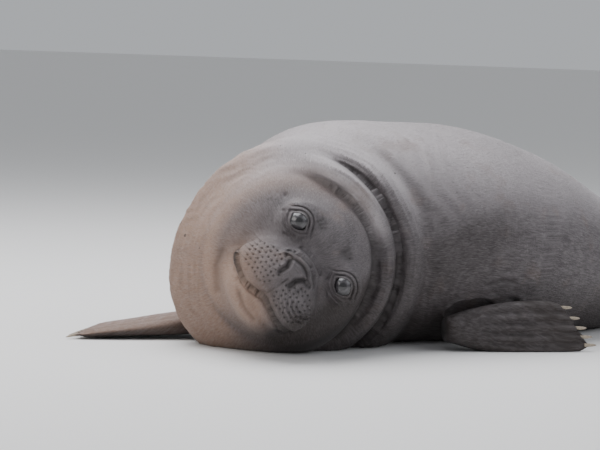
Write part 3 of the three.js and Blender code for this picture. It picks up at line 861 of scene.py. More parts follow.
def groove_shade_marks(at):
    """1 at the bottom of lips, nostrils, pits, lids and folds, where the colour is darkened as painted
    shade; the whisker pits are also dark in the hide itself.
    """
    groove = hill(at.from_lip, 6.0) * (1 - smooth(86, 97, at.half))
    groove = np.maximum(groove, hill(to_line(at.half, at.crown, NOSTRIL), 4.4))
    groove = np.maximum(groove, near_spots(at.half, at.crown, whisker_pits(), 1.75))
    for mark in BROW_MARKS:
        to_mark = to_line(at.side, at.crown, mark)
        groove = np.maximum(groove, hill(to_mark, 1.8))
        groove = np.maximum(groove, 0.45 * hill(to_mark, 6))
    upper_lid = smooth(-0.35, 0.45, at.crown / (EYE_TALL * at.rim + 1e-6))
    groove = np.maximum(groove, 0.8 * hill(at.rim - MAIN_LIDS, 0.10) * (0.3 + 0.7 * upper_lid))
    groove = np.maximum(groove, 0.6 * hill(at.rim - OUTER_LIDS, 0.10) * upper_lid)
    groove = np.maximum(groove, 1 - smooth(0.98, 1.08, at.rim))
    philtrum = 0.4 * hill(at.side - PHILTRUM, 1.8) * smooth(-134, -128, at.crown)
    groove = np.maximum(groove, philtrum * (at.crown < -76))
    for fold, width in ((CHEEK_FOLD, 8), (CHIN_FOLD, 4)):
        groove = np.maximum(groove, 0.35 * hill(to_line(at.side, at.crown, fold), width))
    groove = groove * at.on_front
    for path, depth, width in SHOULDER_FOLDS:
        groove = np.maximum(groove, 0.1 * depth * hill(to_path(at.points, path), width))
    for radius, _, width, lean, _ in ROLL_CREASES[:2]:
        ring = hill(at.across - radius, 1.1 * width) * fold_at(at.ring, lean + 0.1)
        groove = np.maximum(groove, 0.9 * ring * at.near_head * (at.nose < -80) * (1 - at.flipper))
    for height, curve, reach, _, width in NOSE_ARCHES:
        arch = hill(at.crown - height + curve * (at.side - 2) ** 2, width)
        groove = np.maximum(groove, 0.6 * arch * (at.half < reach) * (at.nose > -60))
    return groove


def coat_lie(at, tail):
    """The way the hair lies: out from the nose on the head, then to the tail."""
    outward = at.points - from_head(*NOSE_TIP)[0]
    on_head = smooth(-200, -130, at.nose)[:, None]
    lie = tail * (1 - on_head) + on_head * outward / np.linalg.norm(outward, axis=1)[:, None]
    for blade in FLIPPERS:
        root, along, _, _ = flipper_frame(blade)
        near = np.linalg.norm(at.points - root - along * 0.5, axis=1) < FLIPPER_REACH
        lie[near & (at.flipper > 0.5)] = along / np.linalg.norm(along)
    lie -= at.normals * (lie * at.normals).sum(1)[:, None]
    lie /= np.linalg.norm(lie, axis=1)[:, None] + 1e-9
    return lie


def coat_place(at, travel, turn):
    """Place round the body, along it and in depth, in which the hair's streaks run."""
    radius = np.where(at.nose > -150, np.minimum(at.across, FACE_EDGE_RADIUS), FACE_EDGE_RADIUS)
    start = np.arctan2(at.offset @ LEVEL_SIDE, at.offset @ LEVEL_UP)
    round_it = np.where(at.nose > -110, start, turn)
    depth = np.maximum(at.nose, FACE_BACK) / 1000
    return np.stack([round_it * TRUNK_RADIUS, (radius + travel) / 1000, depth], 1)


def coat_long(at, warm, groove):
    """Length of the hair, shorter on face, flippers, grooves and the walls of the rolls."""
    long = 6.6 - 2.8 * at.on_face - 2.6 * at.flipper + 1.4 * warm * (1 - at.on_face)
    walls = hill(at.across - VALLEY, 16) * fold_at(at.ring, 0.4) * (at.nose < -80)
    return long * (1 - 0.5 * np.clip(groove * 1.5, 0, 1)) * (1 - 0.55 * walls)


def coat_thick(at, groove):
    """How close the tufts stand, and none on lips, lids, nose and ground."""
    bare = np.maximum(smooth(0.2, 0.5, groove), (1 - smooth(1.5, 1.9, at.rim)) * at.on_front)
    bare = np.maximum(bare, hill(np.hypot(at.side / 1.3, at.crown + 56), 26) * (at.nose > 0))
    by_lip = (1 - smooth(3.5, 7.5, at.from_lip)) * (1 - smooth(90, 100, at.half))
    bare = np.maximum(bare, by_lip * at.on_front)
    walls = hill(at.across - VALLEY, 7) * fold_at(at.ring, 0.4) * (at.nose < -80)
    bare = np.clip(np.maximum(bare, 0.8 * walls), 0, 1)
    bare = np.maximum(bare, 0.6 * hill(at.from_pad, 30) * at.on_front)
    thick = (1 - bare) * smooth(2.5, 6, at.height) * (1 - 0.35 * at.flipper)
    to_throat = 1 - smooth(-150, 60, at.right)
    closer = 3.3 + 3.2 * to_throat * (1 - at.on_face)
    return thick * (2.3 + smooth(-290, -165, at.nose) * closer)


def coat_regions(at):
    """The piece of the coat that each place belongs to, by its number."""
    on_neck = np.where(at.right < NAPE_START, 1.0, 2.0)
    region = np.where((at.across < FACE_RADIUS) & (at.nose > -150), 0.0, on_neck)
    along = at.points[:, 0]
    region = np.where((at.nose < NECK_END) & (along > REGION_ENDS[0]), 3.0, region)
    for number, end in enumerate(REGION_ENDS, 4):
        region = np.where(along < end, float(number), region)
    return region


def skin_facts(points, normals):
    """Masks, coat directions and coat lengths for each vertex of the skin."""
    at = SkinPlaces(points, normals)
    travel, tail, turn = along_spine(points)
    warm = warm_marks(at)
    groove = groove_shade_marks(at)
    masks = np.stack([warm, dark_and_shade_marks(at, warm), pale_and_highlight_marks(at), groove], 1)
    return {
        "marks_and_shading": ("FLOAT_COLOR", masks),
        "lie": ("FLOAT_VECTOR", coat_lie(at, tail)),
        "coat_place": ("FLOAT_VECTOR", coat_place(at, travel, turn)),
        "coat_long": ("FLOAT", coat_long(at, warm, groove) / 1000),
        "coat_thick": ("FLOAT", coat_thick(at, groove)),
        "coat_region": ("FLOAT", coat_regions(at)),
    }


def store(mesh, name, kind, values):
    """Keeps one value for each vertex as an attribute."""
    layer = mesh.attributes.new(name, kind, "POINT")
    key = {"FLOAT": "value", "FLOAT_VECTOR": "vector", "FLOAT_COLOR": "color"}[kind]
    layer.data.foreach_set(key, np.asarray(values, np.float32).ravel())


# Materials.


def new_group(name, inputs, outputs):
    """A shader node group with named inputs and outputs."""
    group = bpy.data.node_groups.new(name, "ShaderNodeTree")
    for label, kind, value in inputs:
        socket = group.interface.new_socket(label, in_out="INPUT", socket_type=kind)
        if value is not None:
            socket.default_value = value
    for label, kind in outputs:
        group.interface.new_socket(label, in_out="OUTPUT", socket_type=kind)
    return group, group.nodes.new("NodeGroupInput"), group.nodes.new("NodeGroupOutput")


class Wiring:
    """Short ways to add and join nodes in one tree."""

    def __init__(self, tree):
        self.tree = tree

    def add(self, kind, **settings):
        node = self.tree.nodes.new(kind)
        for key, value in settings.items():
            setattr(node, key, value)
        return node

    def join(self, source, target):
        self.tree.links.new(source, target)

    def put(self, socket, value):
        if isinstance(value, bpy.types.NodeSocket):
            self.join(value, socket)
        else:
            socket.default_value = value

    def math(self, operation, a, b=0.5, clamp=False):
        node = self.add("ShaderNodeMath", operation=operation, use_clamp=clamp)
        self.put(node.inputs[0], a)
        self.put(node.inputs[1], b)
        return node.outputs[0]

    def mix(self, amount, a, b):
        node = self.add("ShaderNodeMix", data_type="RGBA")
        self.put(node.inputs["Factor"], amount)
        self.put(node.inputs[6], a)
        self.put(node.inputs[7], b)
        return node.outputs[2]

    def noise(self, vector, scale, detail=3.0, rough=0.55):
        node = self.add("ShaderNodeTexNoise")
        self.put(node.inputs["Vector"], vector)
        node.inputs["Scale"].default_value = scale
        node.inputs["Detail"].default_value = detail
        node.inputs["Roughness"].default_value = rough
        return node.outputs["Fac"]

    def ramp(self, value, low, high):
        node = self.add("ShaderNodeMapRange", clamp=True)
        self.put(node.inputs["Value"], value)
        node.inputs["From Min"].default_value = low
        node.inputs["From Max"].default_value = high
        return node.outputs["Result"]

    def stretch(self, vector, scale):
        node = self.add("ShaderNodeMapping")
        self.put(node.inputs["Vector"], vector)
        node.inputs["Scale"].default_value = scale
        return node.outputs["Vector"]


def colour(value):
    """A colour with its opacity."""
    return (value[0], value[1], value[2], 1.0)


SKIN_STREAKS = 0.34
SKIN_BUMP = 0.75
HAIR_STREAKS = 0.5
BUMP_DEPTH = 0.0022
# Cells of each pattern to a metre: across the hair, along it, and into the folds.
STREAK_CELLS = (620, 70, 190)
FINE_CELLS = (1500, 210, 450)
WRINKLE_CELLS = (60, 420, 160)
PATCH_CELLS = 7.0
MOTTLE_CELLS = 34.0
STAIN_CELLS = 16.0
SPOT_CELLS = 34.0


def coat_pattern(settings):
    """The markings, with the painted light and shade, that skin and coat share: colour, roughness and
    height.
    """
    inputs = (
        ("Marks", "NodeSocketColor", (0, 0, 0, 1)),
        ("Grooves", "NodeSocketFloat", 0.0),
        ("Place", "NodeSocketVector", None),
        ("Coat Place", "NodeSocketVector", None),
        ("Streaks", "NodeSocketFloat", 0.3),
    )
    outputs = (
        ("Color", "NodeSocketColor"),
        ("Roughness", "NodeSocketFloat"),
        ("Height", "NodeSocketFloat"),
    )
    group, start, end = new_group("Coat Pattern", inputs, outputs)
    w = Wiring(group)
    place = start.outputs["Place"]
    coat_place = start.outputs["Coat Place"]
    split = w.add("ShaderNodeSeparateColor")
    w.join(start.outputs["Marks"], split.inputs[0])
    patches = w.noise(place, PATCH_CELLS, 4.0)
    mottle = w.noise(place, MOTTLE_CELLS, 4.0)
    streaks = w.noise(w.stretch(coat_place, STREAK_CELLS), 1.0, 2.0)
    fine = w.noise(w.stretch(coat_place, FINE_CELLS), 1.0, 2.0)
    wrinkles = w.noise(w.stretch(coat_place, WRINKLE_CELLS), 1.0, 3.0)
    shift = w.math("MULTIPLY", w.math("SUBTRACT", patches, 0.5), 0.9)
    warm = w.math("ADD", split.outputs[0], w.math("MULTIPLY", shift, split.outputs[0]), True)
    pale = w.math("ADD", split.outputs[2], w.math("MULTIPLY", shift, 0.5), True)
    pale = w.math("MULTIPLY", pale, split.outputs[2], True)
    dark = w.math("ADD", split.outputs[1], w.math("MULTIPLY", shift, split.outputs[1]), True)
    base = w.mix(w.ramp(mottle, 0.35, 0.7), colour(settings.hide), colour(settings.hide_shade))
    # Painted top light, highlights and sheen, mixed in as silver over the base hide.
    shade = w.mix(pale, base, colour(settings.silver_and_highlight))
    shade = w.mix(w.math("MULTIPLY", warm, 0.85), shade, colour(settings.sand))
    # Painted shade low on the body and under the face, and the dark flippers.
    shade = w.mix(dark, shade, colour(settings.dark))
    rusty = w.math("MULTIPLY", w.ramp(w.noise(place, STAIN_CELLS, 5.0), 0.56, 0.72), 0.3)
    shade = w.mix(w.math("MULTIPLY", rusty, w.math("SUBTRACT", 1.0, dark)), shade, colour(settings.rust))
    clear = w.math("SUBTRACT", 1.0, w.math("MULTIPLY", start.outputs["Grooves"], 1.6, True), True)
    clear = w.math("MULTIPLY", clear, w.math("SUBTRACT", 1.0, w.math("MULTIPLY", dark, 0.6)))
    strength = w.math("MULTIPLY", clear, start.outputs["Streaks"])
    lines = w.math("MULTIPLY", w.ramp(streaks, 0.4, 0.68), strength)
    shade = w.mix(lines, shade, w.mix(0.5, shade, colour(settings.silver_and_highlight)))
    thin = w.math("MULTIPLY", w.ramp(fine, 0.55, 0.75), strength)
    shade = w.mix(thin, shade, colour(settings.dark))
    spots = w.add("ShaderNodeTexVoronoi", feature="F1")
    w.join(place, spots.inputs["Vector"])
    spots.inputs["Scale"].default_value = SPOT_CELLS
    size = w.math("MULTIPLY", w.ramp(w.noise(place, 21.0, 1.0), 0.5, 0.75), 0.16)
    spot = w.math("LESS_THAN", spots.outputs["Distance"], size)
    spot = w.math("MULTIPLY", spot, w.math("ADD", pale, split.outputs[0], True), True)
    shade = w.mix(w.math("MULTIPLY", spot, 0.7), shade, colour(settings.dark))
    # Painted shade at the bottom of folds, lips, nostrils and lids, and the dark whisker pits.
    deep = w.math("MULTIPLY", start.outputs["Grooves"], 0.92, True)
    shade = w.mix(deep, shade, colour(settings.groove))
    w.join(shade, end.inputs["Color"])
    rough = w.math("SUBTRACT", 0.62, w.math("MULTIPLY", streaks, 0.22))
    rough = w.math("ADD", rough, w.math("MULTIPLY", patches, 0.14))
    w.join(rough, end.inputs["Roughness"])
    height = w.math("MULTIPLY", streaks, 0.45)
    height = w.math("ADD", height, w.math("MULTIPLY", fine, 0.3))
    height = w.math("ADD", height, w.math("MULTIPLY", wrinkles, 0.5))
    w.join(w.math("MULTIPLY", height, clear), end.inputs["Height"])
    return group


def hide_material(name, pattern, streaks, bump):
    """The hide, for the skin with bump and for the coat without."""
    material = bpy.data.materials.new(name)
    material.use_nodes = True
    w = Wiring(material.node_tree)
    shader = material.node_tree.nodes["Principled BSDF"]
    group = w.add("ShaderNodeGroup")
    group.node_tree = pattern
    marks_and_shading = w.add("ShaderNodeAttribute", attribute_name="marks_and_shading")
    w.join(marks_and_shading.outputs["Color"], group.inputs["Marks"])
    w.join(marks_and_shading.outputs["Alpha"], group.inputs["Grooves"])
    place = w.add("ShaderNodeTexCoord")
    w.join(place.outputs["Object"], group.inputs["Place"])
    coat = w.add("ShaderNodeAttribute", attribute_name="coat_place")
    w.join(coat.outputs["Vector"], group.inputs["Coat Place"])
    group.inputs["Streaks"].default_value = streaks
    w.join(group.outputs["Color"], shader.inputs["Base Color"])
    w.join(group.outputs["Roughness"], shader.inputs["Roughness"])
    if bump:
        relief = w.add("ShaderNodeBump")
        relief.inputs["Strength"].default_value = bump
        relief.inputs["Distance"].default_value = BUMP_DEPTH
        w.join(group.outputs["Height"], relief.inputs["Height"])
        w.join(relief.outputs["Normal"], shader.inputs["Normal"])
    shader.inputs["Specular IOR Level"].default_value = 0.42
    shader.inputs["Sheen Weight"].default_value = 0.06
    shader.inputs["Sheen Roughness"].default_value = 0.45
    return material


def eye_material(settings):
    """A dark wet eye with a slightly lighter ring."""
    material = bpy.data.materials.new("wet_eye")
    material.use_nodes = True
    w = Wiring(material.node_tree)
    shader = material.node_tree.nodes["Principled BSDF"]
    ring = w.add("ShaderNodeAttribute", attribute_name="from_pupil")
    place = w.add("ShaderNodeTexCoord")
    rays = w.noise(place.outputs["Object"], 420.0, 3.0)
    edge = w.math("ADD", ring.outputs["Fac"], w.math("MULTIPLY", w.math("SUBTRACT", rays, 0.5), 0.12))
    iris = w.mix(w.ramp(edge, 0.30, 0.40), colour(settings.pupil), colour(settings.iris))
    iris = w.mix(w.ramp(edge, 0.52, 0.70), iris, colour(settings.pupil))
    w.join(iris, shader.inputs["Base Color"])
    shader.inputs["Roughness"].default_value = 0.25
    shader.inputs["Coat Weight"].default_value = 0.8
    shader.inputs["Coat Roughness"].default_value = 0.10
    return material


def horn_material(name, shade, tip):
    """Streaked horn with dirt in it."""
    material = bpy.data.materials.new(name)
    material.use_nodes = True
    w = Wiring(material.node_tree)
    shader = material.node_tree.nodes["Principled BSDF"]
    place = w.add("ShaderNodeTexCoord").outputs["Object"]
    grain = w.noise(w.stretch(place, (400, 400, 1400)), 1.0, 3.0)
    dirt = w.noise(place, 160.0, 4.0)
    tone = w.mix(w.ramp(grain, 0.35, 0.7), colour(shade), colour(tip))
    tone = w.mix(w.math("MULTIPLY", w.ramp(dirt, 0.5, 0.7), 0.5), tone, (0.06, 0.045, 0.035, 1))
    w.join(tone, shader.inputs["Base Color"])
    w.join(w.math("ADD", w.math("MULTIPLY", dirt, 0.3), 0.35), shader.inputs["Roughness"])
    relief = w.add("ShaderNodeBump")
    relief.inputs["Strength"].default_value = 0.35
    relief.inputs["Distance"].default_value = 0.0006
    w.join(grain, relief.inputs["Height"])
    w.join(relief.outputs["Normal"], shader.inputs["Normal"])
    return material


def whisker_material():
    """Stiff dark hair."""
    material = bpy.data.materials.new("whisker_hair")
    material.use_nodes = True
    w = Wiring(material.node_tree)
    shader = material.node_tree.nodes["Principled BSDF"]
    place = w.add("ShaderNodeTexCoord").outputs["Object"]
    tone = w.mix(w.noise(place, 60.0), (0.012, 0.009, 0.008, 1), (0.09, 0.07, 0.055, 1))
    w.join(tone, shader.inputs["Base Color"])
    shader.inputs["Roughness"].default_value = 0.4
    return material


# Settings.


def colour_property(name, description, default):
    """A colour that a user can change."""
    return bpy.props.FloatVectorProperty(
        name=name, description=description, default=default, subtype="COLOR", size=3, min=0, max=1
    )


TUFTS_PER_METRE = 72000
TUFT_WIDTH = 0.0009
TUFT_RISE = 0.16
COAT_SEED = 7


class SealHideSettings(bpy.types.PropertyGroup):
    """Colours of the hide, shared by the skin and the coat."""

    hide: colour_property("Hide", "Grey of the face and flanks", (0.118, 0.103, 0.108))
    hide_shade: colour_property("Hide shade", "Deeper tone of the mottling", (0.070, 0.060, 0.063))
    # Silver hairs, and also the colour of the painted top light, highlights and sheen.
    silver_and_highlight: colour_property("Silver", "Light hairs of the back and nape", (0.50, 0.46, 0.47))
    sand: colour_property("Sand", "Warm tone of the throat and chin", (0.37, 0.235, 0.165))
    rust: colour_property("Rust", "Stains in the coat", (0.20, 0.12, 0.08))
    # Also the colour of the painted shade low on the body and under the face.
    dark: colour_property("Dark", "Lower flanks and flippers", (0.030, 0.022, 0.020))
    # Colour of the painted shade in folds, lips, nostrils and lids, and of the dark whisker pits.
    groove: colour_property("Groove", "Bottom of folds, lips and nostrils", (0.012, 0.009, 0.008))
    pupil: colour_property("Pupil", "Middle and rim of the eye", (0.006, 0.005, 0.006))
    iris: colour_property("Iris", "Ring round the pupil", (0.045, 0.041, 0.045))
    claw: colour_property("Claw", "Pale horn of the claws", (0.42, 0.36, 0.28))
    claw_tip: colour_property("Claw streak", "Darker streaks in the horn", (0.22, 0.17, 0.12))


class SealCoatSettings(bpy.types.PropertyGroup):
    """Sizes of the tufts."""

    per_metre: bpy.props.IntProperty(
        name="Tufts",
        description="Tufts on a square metre where the closeness is 1",
        default=TUFTS_PER_METRE,
        min=1000,
    )
    width: bpy.props.FloatProperty(
        name="Width", description="Width of a tuft at its root", default=TUFT_WIDTH, unit="LENGTH"
    )
    rise: bpy.props.FloatProperty(
        name="Rise", description="How far a tuft's tip stands off", default=TUFT_RISE, min=0, max=1
    )
    seed: bpy.props.IntProperty(
        name="Seed", description="Draw of the tufts' places", default=COAT_SEED
    )


# Pieces.

FLESH_NODES = (
    "head",
    "neck",
    "chest",
    "abdomen",
    "hindquarters",
    "tail",
    "fore_flipper_left",
    "fore_flipper_right",
    "hind_flipper_left",
    "hind_flipper_right",
)


EYES = (("left", 1), ("right", -1))
TAIL_ROOT = (-700, 56, 80)
TAIL_LONG = 117
TAIL_DROP = 22
TAIL_HALF = (29.5, 16.5)


def eye_middle(name):
    """Middle of an eyeball's own solid, in millimetres."""
    low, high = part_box("eye_" + name)
    return np.array((low + high) / 2) * 1000


def tail_mesh(steps=12, sides=36):
    """The short blunt tail."""
    x, y, z = TAIL_ROOT
    rings = []
    for i in range(steps + 1):
        t = i / steps
        size = math.sqrt(1.02 - t * t)
        ring = []
        for j in range(sides):
            turn = 2 * math.pi * j / sides
            across = y - TAIL_HALF[0] * size * math.cos(turn)
            up = z - TAIL_DROP * t + TAIL_HALF[1] * size * math.sin(turn)
            ring.append((x - TAIL_LONG * t, across, up))
        rings.append(ring)
    return rings_mesh(rings)


def carve_eyes(points):
    """Pulls the skin back over the eyeballs, so that the lids lie on them."""
    for name, sign in EYES:
        middle = eye_middle(name)
        away = points - middle
        distance = np.linalg.norm(away, axis=1)
        side, crown, nose = in_head(points)
        open_eye = (from_lids(side, crown) < 1.0) & (sign * side > 0)
        inside = (distance < 40) & open_eye & (nose > -60)
        behind = EYEBALL_RADIUS - 3.0
        points[inside] = middle + away[inside] * behind / distance[inside][:, None]
        before = EYEBALL_RADIUS + 0.5
        lid = (distance < before) & ~inside
        points[lid] = middle + away[lid] * before / distance[lid][:, None]
    return points


class SEAL_OT_skin(bpy.types.Operator):
    """Build the one skin that stands for all the flesh"""

    bl_idname = "seal.skin"
    bl_label = "Skin"

    def execute(self, context):
        points, faces = net_of(plain_form, NET_LOW, NET_HIGH, NET_CELL)
        points = settle(points, 6.0, 4)
        points = relax(points, faces, 3, 4.0)
        for _ in range(REFINE_ROUNDS):
            before = len(points)
            points, faces = refine(points, faces, wanted_detail)
            points[before:] = settle(points[before:], 4.0, 3)
            points = relax(points, faces, 1, 2.0)
        points = carve_eyes(points)
        points[:, 2] = np.maximum(points[:, 2], SKIN_CLEAR)
        skin = mesh_piece("skin", points, faces)
        parts = [mesh_piece("part_tail", *tail_mesh())]
        parts += [mesh_piece("part_" + b["name"], *flipper_mesh(b)) for b in FLIPPERS]
        for part in parts:
            union = skin.modifiers.new("join", "BOOLEAN")
            union.operation = "UNION"
            union.solver = "MANIFOLD"
            union.object = part
        plain = bpy.data.meshes.new_from_object(skin.evaluated_get(context.evaluated_depsgraph_get()))
        skin.modifiers.clear()
        skin.data = plain
        plain.name = "skin"
        for part in parts:
            bpy.data.objects.remove(part)
        plain.polygons.foreach_set("use_smooth", np.full(len(plain.polygons), True))
        dress_skin(plain)
        settings = context.scene.seal_hide
        pattern = coat_pattern(settings)
        plain.materials.clear()
        plain.materials.append(hide_material("hide", pattern, SKIN_STREAKS, SKIN_BUMP))
        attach(skin, BODY)
        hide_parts(*FLESH_NODES)
        return {"FINISHED"}


def dress_skin(mesh):
    """Stores the marks and the facts of the coat on the skin."""
    points = points_of(mesh)
    normals = np.empty(len(mesh.vertices) * 3, np.float32)
    mesh.vertex_normals.foreach_get("vector", normals)
    facts = skin_facts(points, normals.reshape(-1, 3).astype(float))
    for name, (kind, values) in facts.items():
        store(mesh, name, kind, values)


def unwrap(piece):
    """Lays the skin's own shape out flat, for the tufts' places."""
    bpy.ops.object.select_all(action="DESELECT")
    piece.select_set(True)
    bpy.context.view_layer.objects.active = piece
    piece.data.uv_layers.new(name="laid_flat")
    bpy.ops.object.mode_set(mode="EDIT")
    bpy.ops.mesh.select_all(action="SELECT")
    bpy.ops.uv.smart_project(angle_limit=math.radians(66), island_margin=0.004)
    bpy.ops.object.mode_set(mode="OBJECT")
    piece.select_set(False)


# The pieces of the coat, in the order of their regions on the skin.
COAT_PIECES = (
    "coat_head",
    "coat_throat",
    "coat_nape",
    "coat_shoulders",
    "coat_chest",
    "coat_belly",
    "coat_rear",
)


PATCH_WIDE = 0.0024  # size of one tuft's patch on the unwrap
PATCH_LONG = 0.0028
TUFT_SWAY = 0.22
TUFT_LENGTHS = (0.65, 1.25)
TUFT_LIFT = 6.0
FACE_TUFT = 0.75
CARRIED = ("root_flat", "patch", "lie", "coat_long", "coat_thick", "coat_region", "laid_flat")


def tuft_mesh():
    """One flat lock of hair, one unit long, that bends along the coat."""
    points = ((-0.5, 0), (0.5, 0), (-0.42, 0.45), (0.42, 0.45), (0, 1))
    lift = (-0.06, -0.06, 0.09, 0.09, 0.16)
    mesh = bpy.data.meshes.new("tuft")
    places = [(x, y, z) for (x, y), z in zip(points, lift)]
    mesh.from_pydata(places, [], [(0, 1, 3, 2), (2, 3, 4)])
    mesh.polygons.foreach_set("use_smooth", (True, True))
    patch = mesh.attributes.new("patch", "FLOAT_VECTOR", "POINT")
    spread = [(x * PATCH_WIDE, (y - 0.5) * PATCH_LONG, 0) for x, y in points]
    patch.data.foreach_set("vector", np.array(spread, np.float32).ravel())
    return bpy.data.objects.new("tuft", mesh)


def coat_tree(tuft, material):
    """Geometry nodes that set tufts over the skin, laid along the coat."""
    tree = bpy.data.node_groups.new("Coat Tufts", "GeometryNodeTree")
    face = tree.interface
    face.new_socket("Geometry", in_out="INPUT", socket_type="NodeSocketGeometry")
    names = {}
    for label, kind, value in (
        ("Tufts Per Area", "NodeSocketFloat", float(TUFTS_PER_METRE)),
        ("Region", "NodeSocketFloat", 0.0),
        ("Width", "NodeSocketFloat", TUFT_WIDTH),
        ("Rise", "NodeSocketFloat", TUFT_RISE),
        ("Seed", "NodeSocketInt", COAT_SEED),
    ):
        socket = face.new_socket(label, in_out="INPUT", socket_type=kind)
        socket.default_value = value
        names[label] = socket.identifier
    face.new_socket("Geometry", in_out="OUTPUT", socket_type="NodeSocketGeometry")
    w = Wiring(tree)
    start = w.add("NodeGroupInput")
    end = w.add("NodeGroupOutput")

    def named(name, kind="FLOAT"):
        node = w.add("GeometryNodeInputNamedAttribute", data_type=kind)
        node.inputs["Name"].default_value = name
        return node.outputs["Attribute"]

    def vector(operation, a, b):
        node = w.add("ShaderNodeVectorMath", operation=operation)
        w.put(node.inputs[0], a)
        w.put(node.inputs[1], b)
        return node.outputs[0]

    def random(low, high, number, kind="FLOAT"):
        node = w.add("FunctionNodeRandomValue", data_type=kind)
        places = [s for s in node.inputs if s.enabled]
        places[0].default_value = low
        places[1].default_value = high
        w.put(node.inputs["Seed"], w.math("ADD", start.outputs["Seed"], number))
        return [s for s in node.outputs if s.enabled][0]

    gap = w.math("ABSOLUTE", w.math("SUBTRACT", named("coat_region"), start.outputs["Region"]))
    chosen = w.math("LESS_THAN", gap, 0.5)
    closeness = w.math("MULTIPLY", named("coat_thick"), chosen)
    density = w.math("MULTIPLY", closeness, start.outputs["Tufts Per Area"])
    scatter = w.add("GeometryNodeDistributePointsOnFaces", distribute_method="RANDOM")
    w.join(start.outputs["Geometry"], scatter.inputs["Mesh"])
    w.join(density, scatter.inputs["Density"])
    w.join(start.outputs["Seed"], scatter.inputs["Seed"])
    root = w.add("GeometryNodeStoreNamedAttribute", data_type="FLOAT_VECTOR", domain="POINT")
    w.join(scatter.outputs["Points"], root.inputs["Geometry"])
    root.inputs["Name"].default_value = "root_flat"
    w.join(named("laid_flat", "FLOAT_VECTOR"), root.inputs["Value"])
    either_way = random((-1, -1, -1), (1, 1, 1), 3, "FLOAT_VECTOR")
    sway = vector("MULTIPLY", either_way, (TUFT_SWAY, TUFT_SWAY, TUFT_SWAY))
    lie = vector("ADD", named("lie", "FLOAT_VECTOR"), sway)
    turn = w.add("FunctionNodeAxesToRotation", primary_axis="Z", secondary_axis="Y")
    w.join(scatter.outputs["Normal"], turn.inputs["Primary Axis"])
    w.join(lie, turn.inputs["Secondary Axis"])
    long = w.math("MULTIPLY", named("coat_long"), random(*TUFT_LENGTHS, 5))
    size = w.add("ShaderNodeCombineXYZ")
    w.join(start.outputs["Width"], size.inputs[0])
    w.join(long, size.inputs[1])
    lift = w.math("MULTIPLY", start.outputs["Rise"], TUFT_LIFT)
    w.join(w.math("MULTIPLY", long, lift), size.inputs[2])
    source = w.add("GeometryNodeObjectInfo")
    source.inputs["Object"].default_value = tuft
    plant = w.add("GeometryNodeInstanceOnPoints")
    w.join(root.outputs["Geometry"], plant.inputs["Points"])
    w.join(source.outputs["Geometry"], plant.inputs["Instance"])
    w.join(turn.outputs["Rotation"], plant.inputs["Rotation"])
    w.join(size.outputs[0], plant.inputs["Scale"])
    real = w.add("GeometryNodeRealizeInstances")
    w.join(plant.outputs["Instances"], real.inputs["Geometry"])
    flat = w.add("GeometryNodeStoreNamedAttribute", data_type="FLOAT2", domain="CORNER")
    w.join(real.outputs["Geometry"], flat.inputs["Geometry"])
    flat.inputs["Name"].default_value = "OFBake"
    place = vector("ADD", named("root_flat", "FLOAT_VECTOR"), named("patch", "FLOAT_VECTOR"))
    w.join(place, flat.inputs["Value"])
    paint = w.add("GeometryNodeSetMaterial")
    w.join(flat.outputs["Geometry"], paint.inputs["Geometry"])
    paint.inputs["Material"].default_value = material
    w.join(paint.outputs["Geometry"], end.inputs["Geometry"])
    return tree, names


class SEAL_OT_coat(bpy.types.Operator):
    """Set short tufts of hair over the whole skin"""

    bl_idname = "seal.coat"
    bl_label = "Coat"

    def execute(self, context):
        skin = bpy.data.objects["skin"]
        settings = context.scene.seal_coat
        unwrap(skin)
        tuft = tuft_mesh()
        pattern = bpy.data.node_groups["Coat Pattern"]
        material = hide_material("coat_hair", pattern, HAIR_STREAKS, 0)
        tree, names = coat_tree(tuft, material)
        for region, name in enumerate(COAT_PIECES):
            carrier = bpy.data.objects.new(name, skin.data.copy())
            context.scene.collection.objects.link(carrier)
            grow = carrier.modifiers.new("tufts", "NODES")
            grow.node_group = tree
            grow[names["Tufts Per Area"]] = float(settings.per_metre)
            grow[names["Region"]] = float(region)
            grow[names["Width"]] = settings.width * (FACE_TUFT if region == 0 else 1.0)
            grow[names["Rise"]] = settings.rise
            grow[names["Seed"]] = settings.seed + region
            seen = carrier.evaluated_get(context.evaluated_depsgraph_get())
            plain = bpy.data.meshes.new_from_object(seen)
            carrier.modifiers.clear()
            carrier.data = plain
            plain.name = name
            places = points_of(plain)
            places[:, 2] = np.maximum(places[:, 2], COAT_CLEAR)
            plain.vertices.foreach_set("co", (places / 1000).astype(np.float32).ravel())
            for layer in CARRIED:
                if layer in plain.attributes:
                    plain.attributes.remove(plain.attributes[layer])
            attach(carrier, BODY)
        bpy.data.objects.remove(tuft)
        return {"FINISHED"}


CORNEA_RISE = 0.9
CORNEA_WIDTH = 0.35
EYE_GAP = 0.3


def eyeball_mesh(middle, steps=40, sides=56):
    """A ball with a slight bulge to the front."""
    rings = []
    for i in range(1, steps):
        tilt = math.pi * i / steps
        bulge = CORNEA_RISE * float(hill(np.array(tilt - math.pi), CORNEA_WIDTH))
        radius = EYEBALL_RADIUS - EYE_GAP + bulge
        ring = []
        for j in range(sides):
            turn = 2 * math.pi * j / sides
            p = -radius * math.cos(tilt) * NOSE
            p = p + radius * math.sin(tilt) * (math.cos(turn) * SIDE + math.sin(turn) * CROWN)
            ring.append(middle + p)
        rings.append(ring)
    return rings_mesh(rings)


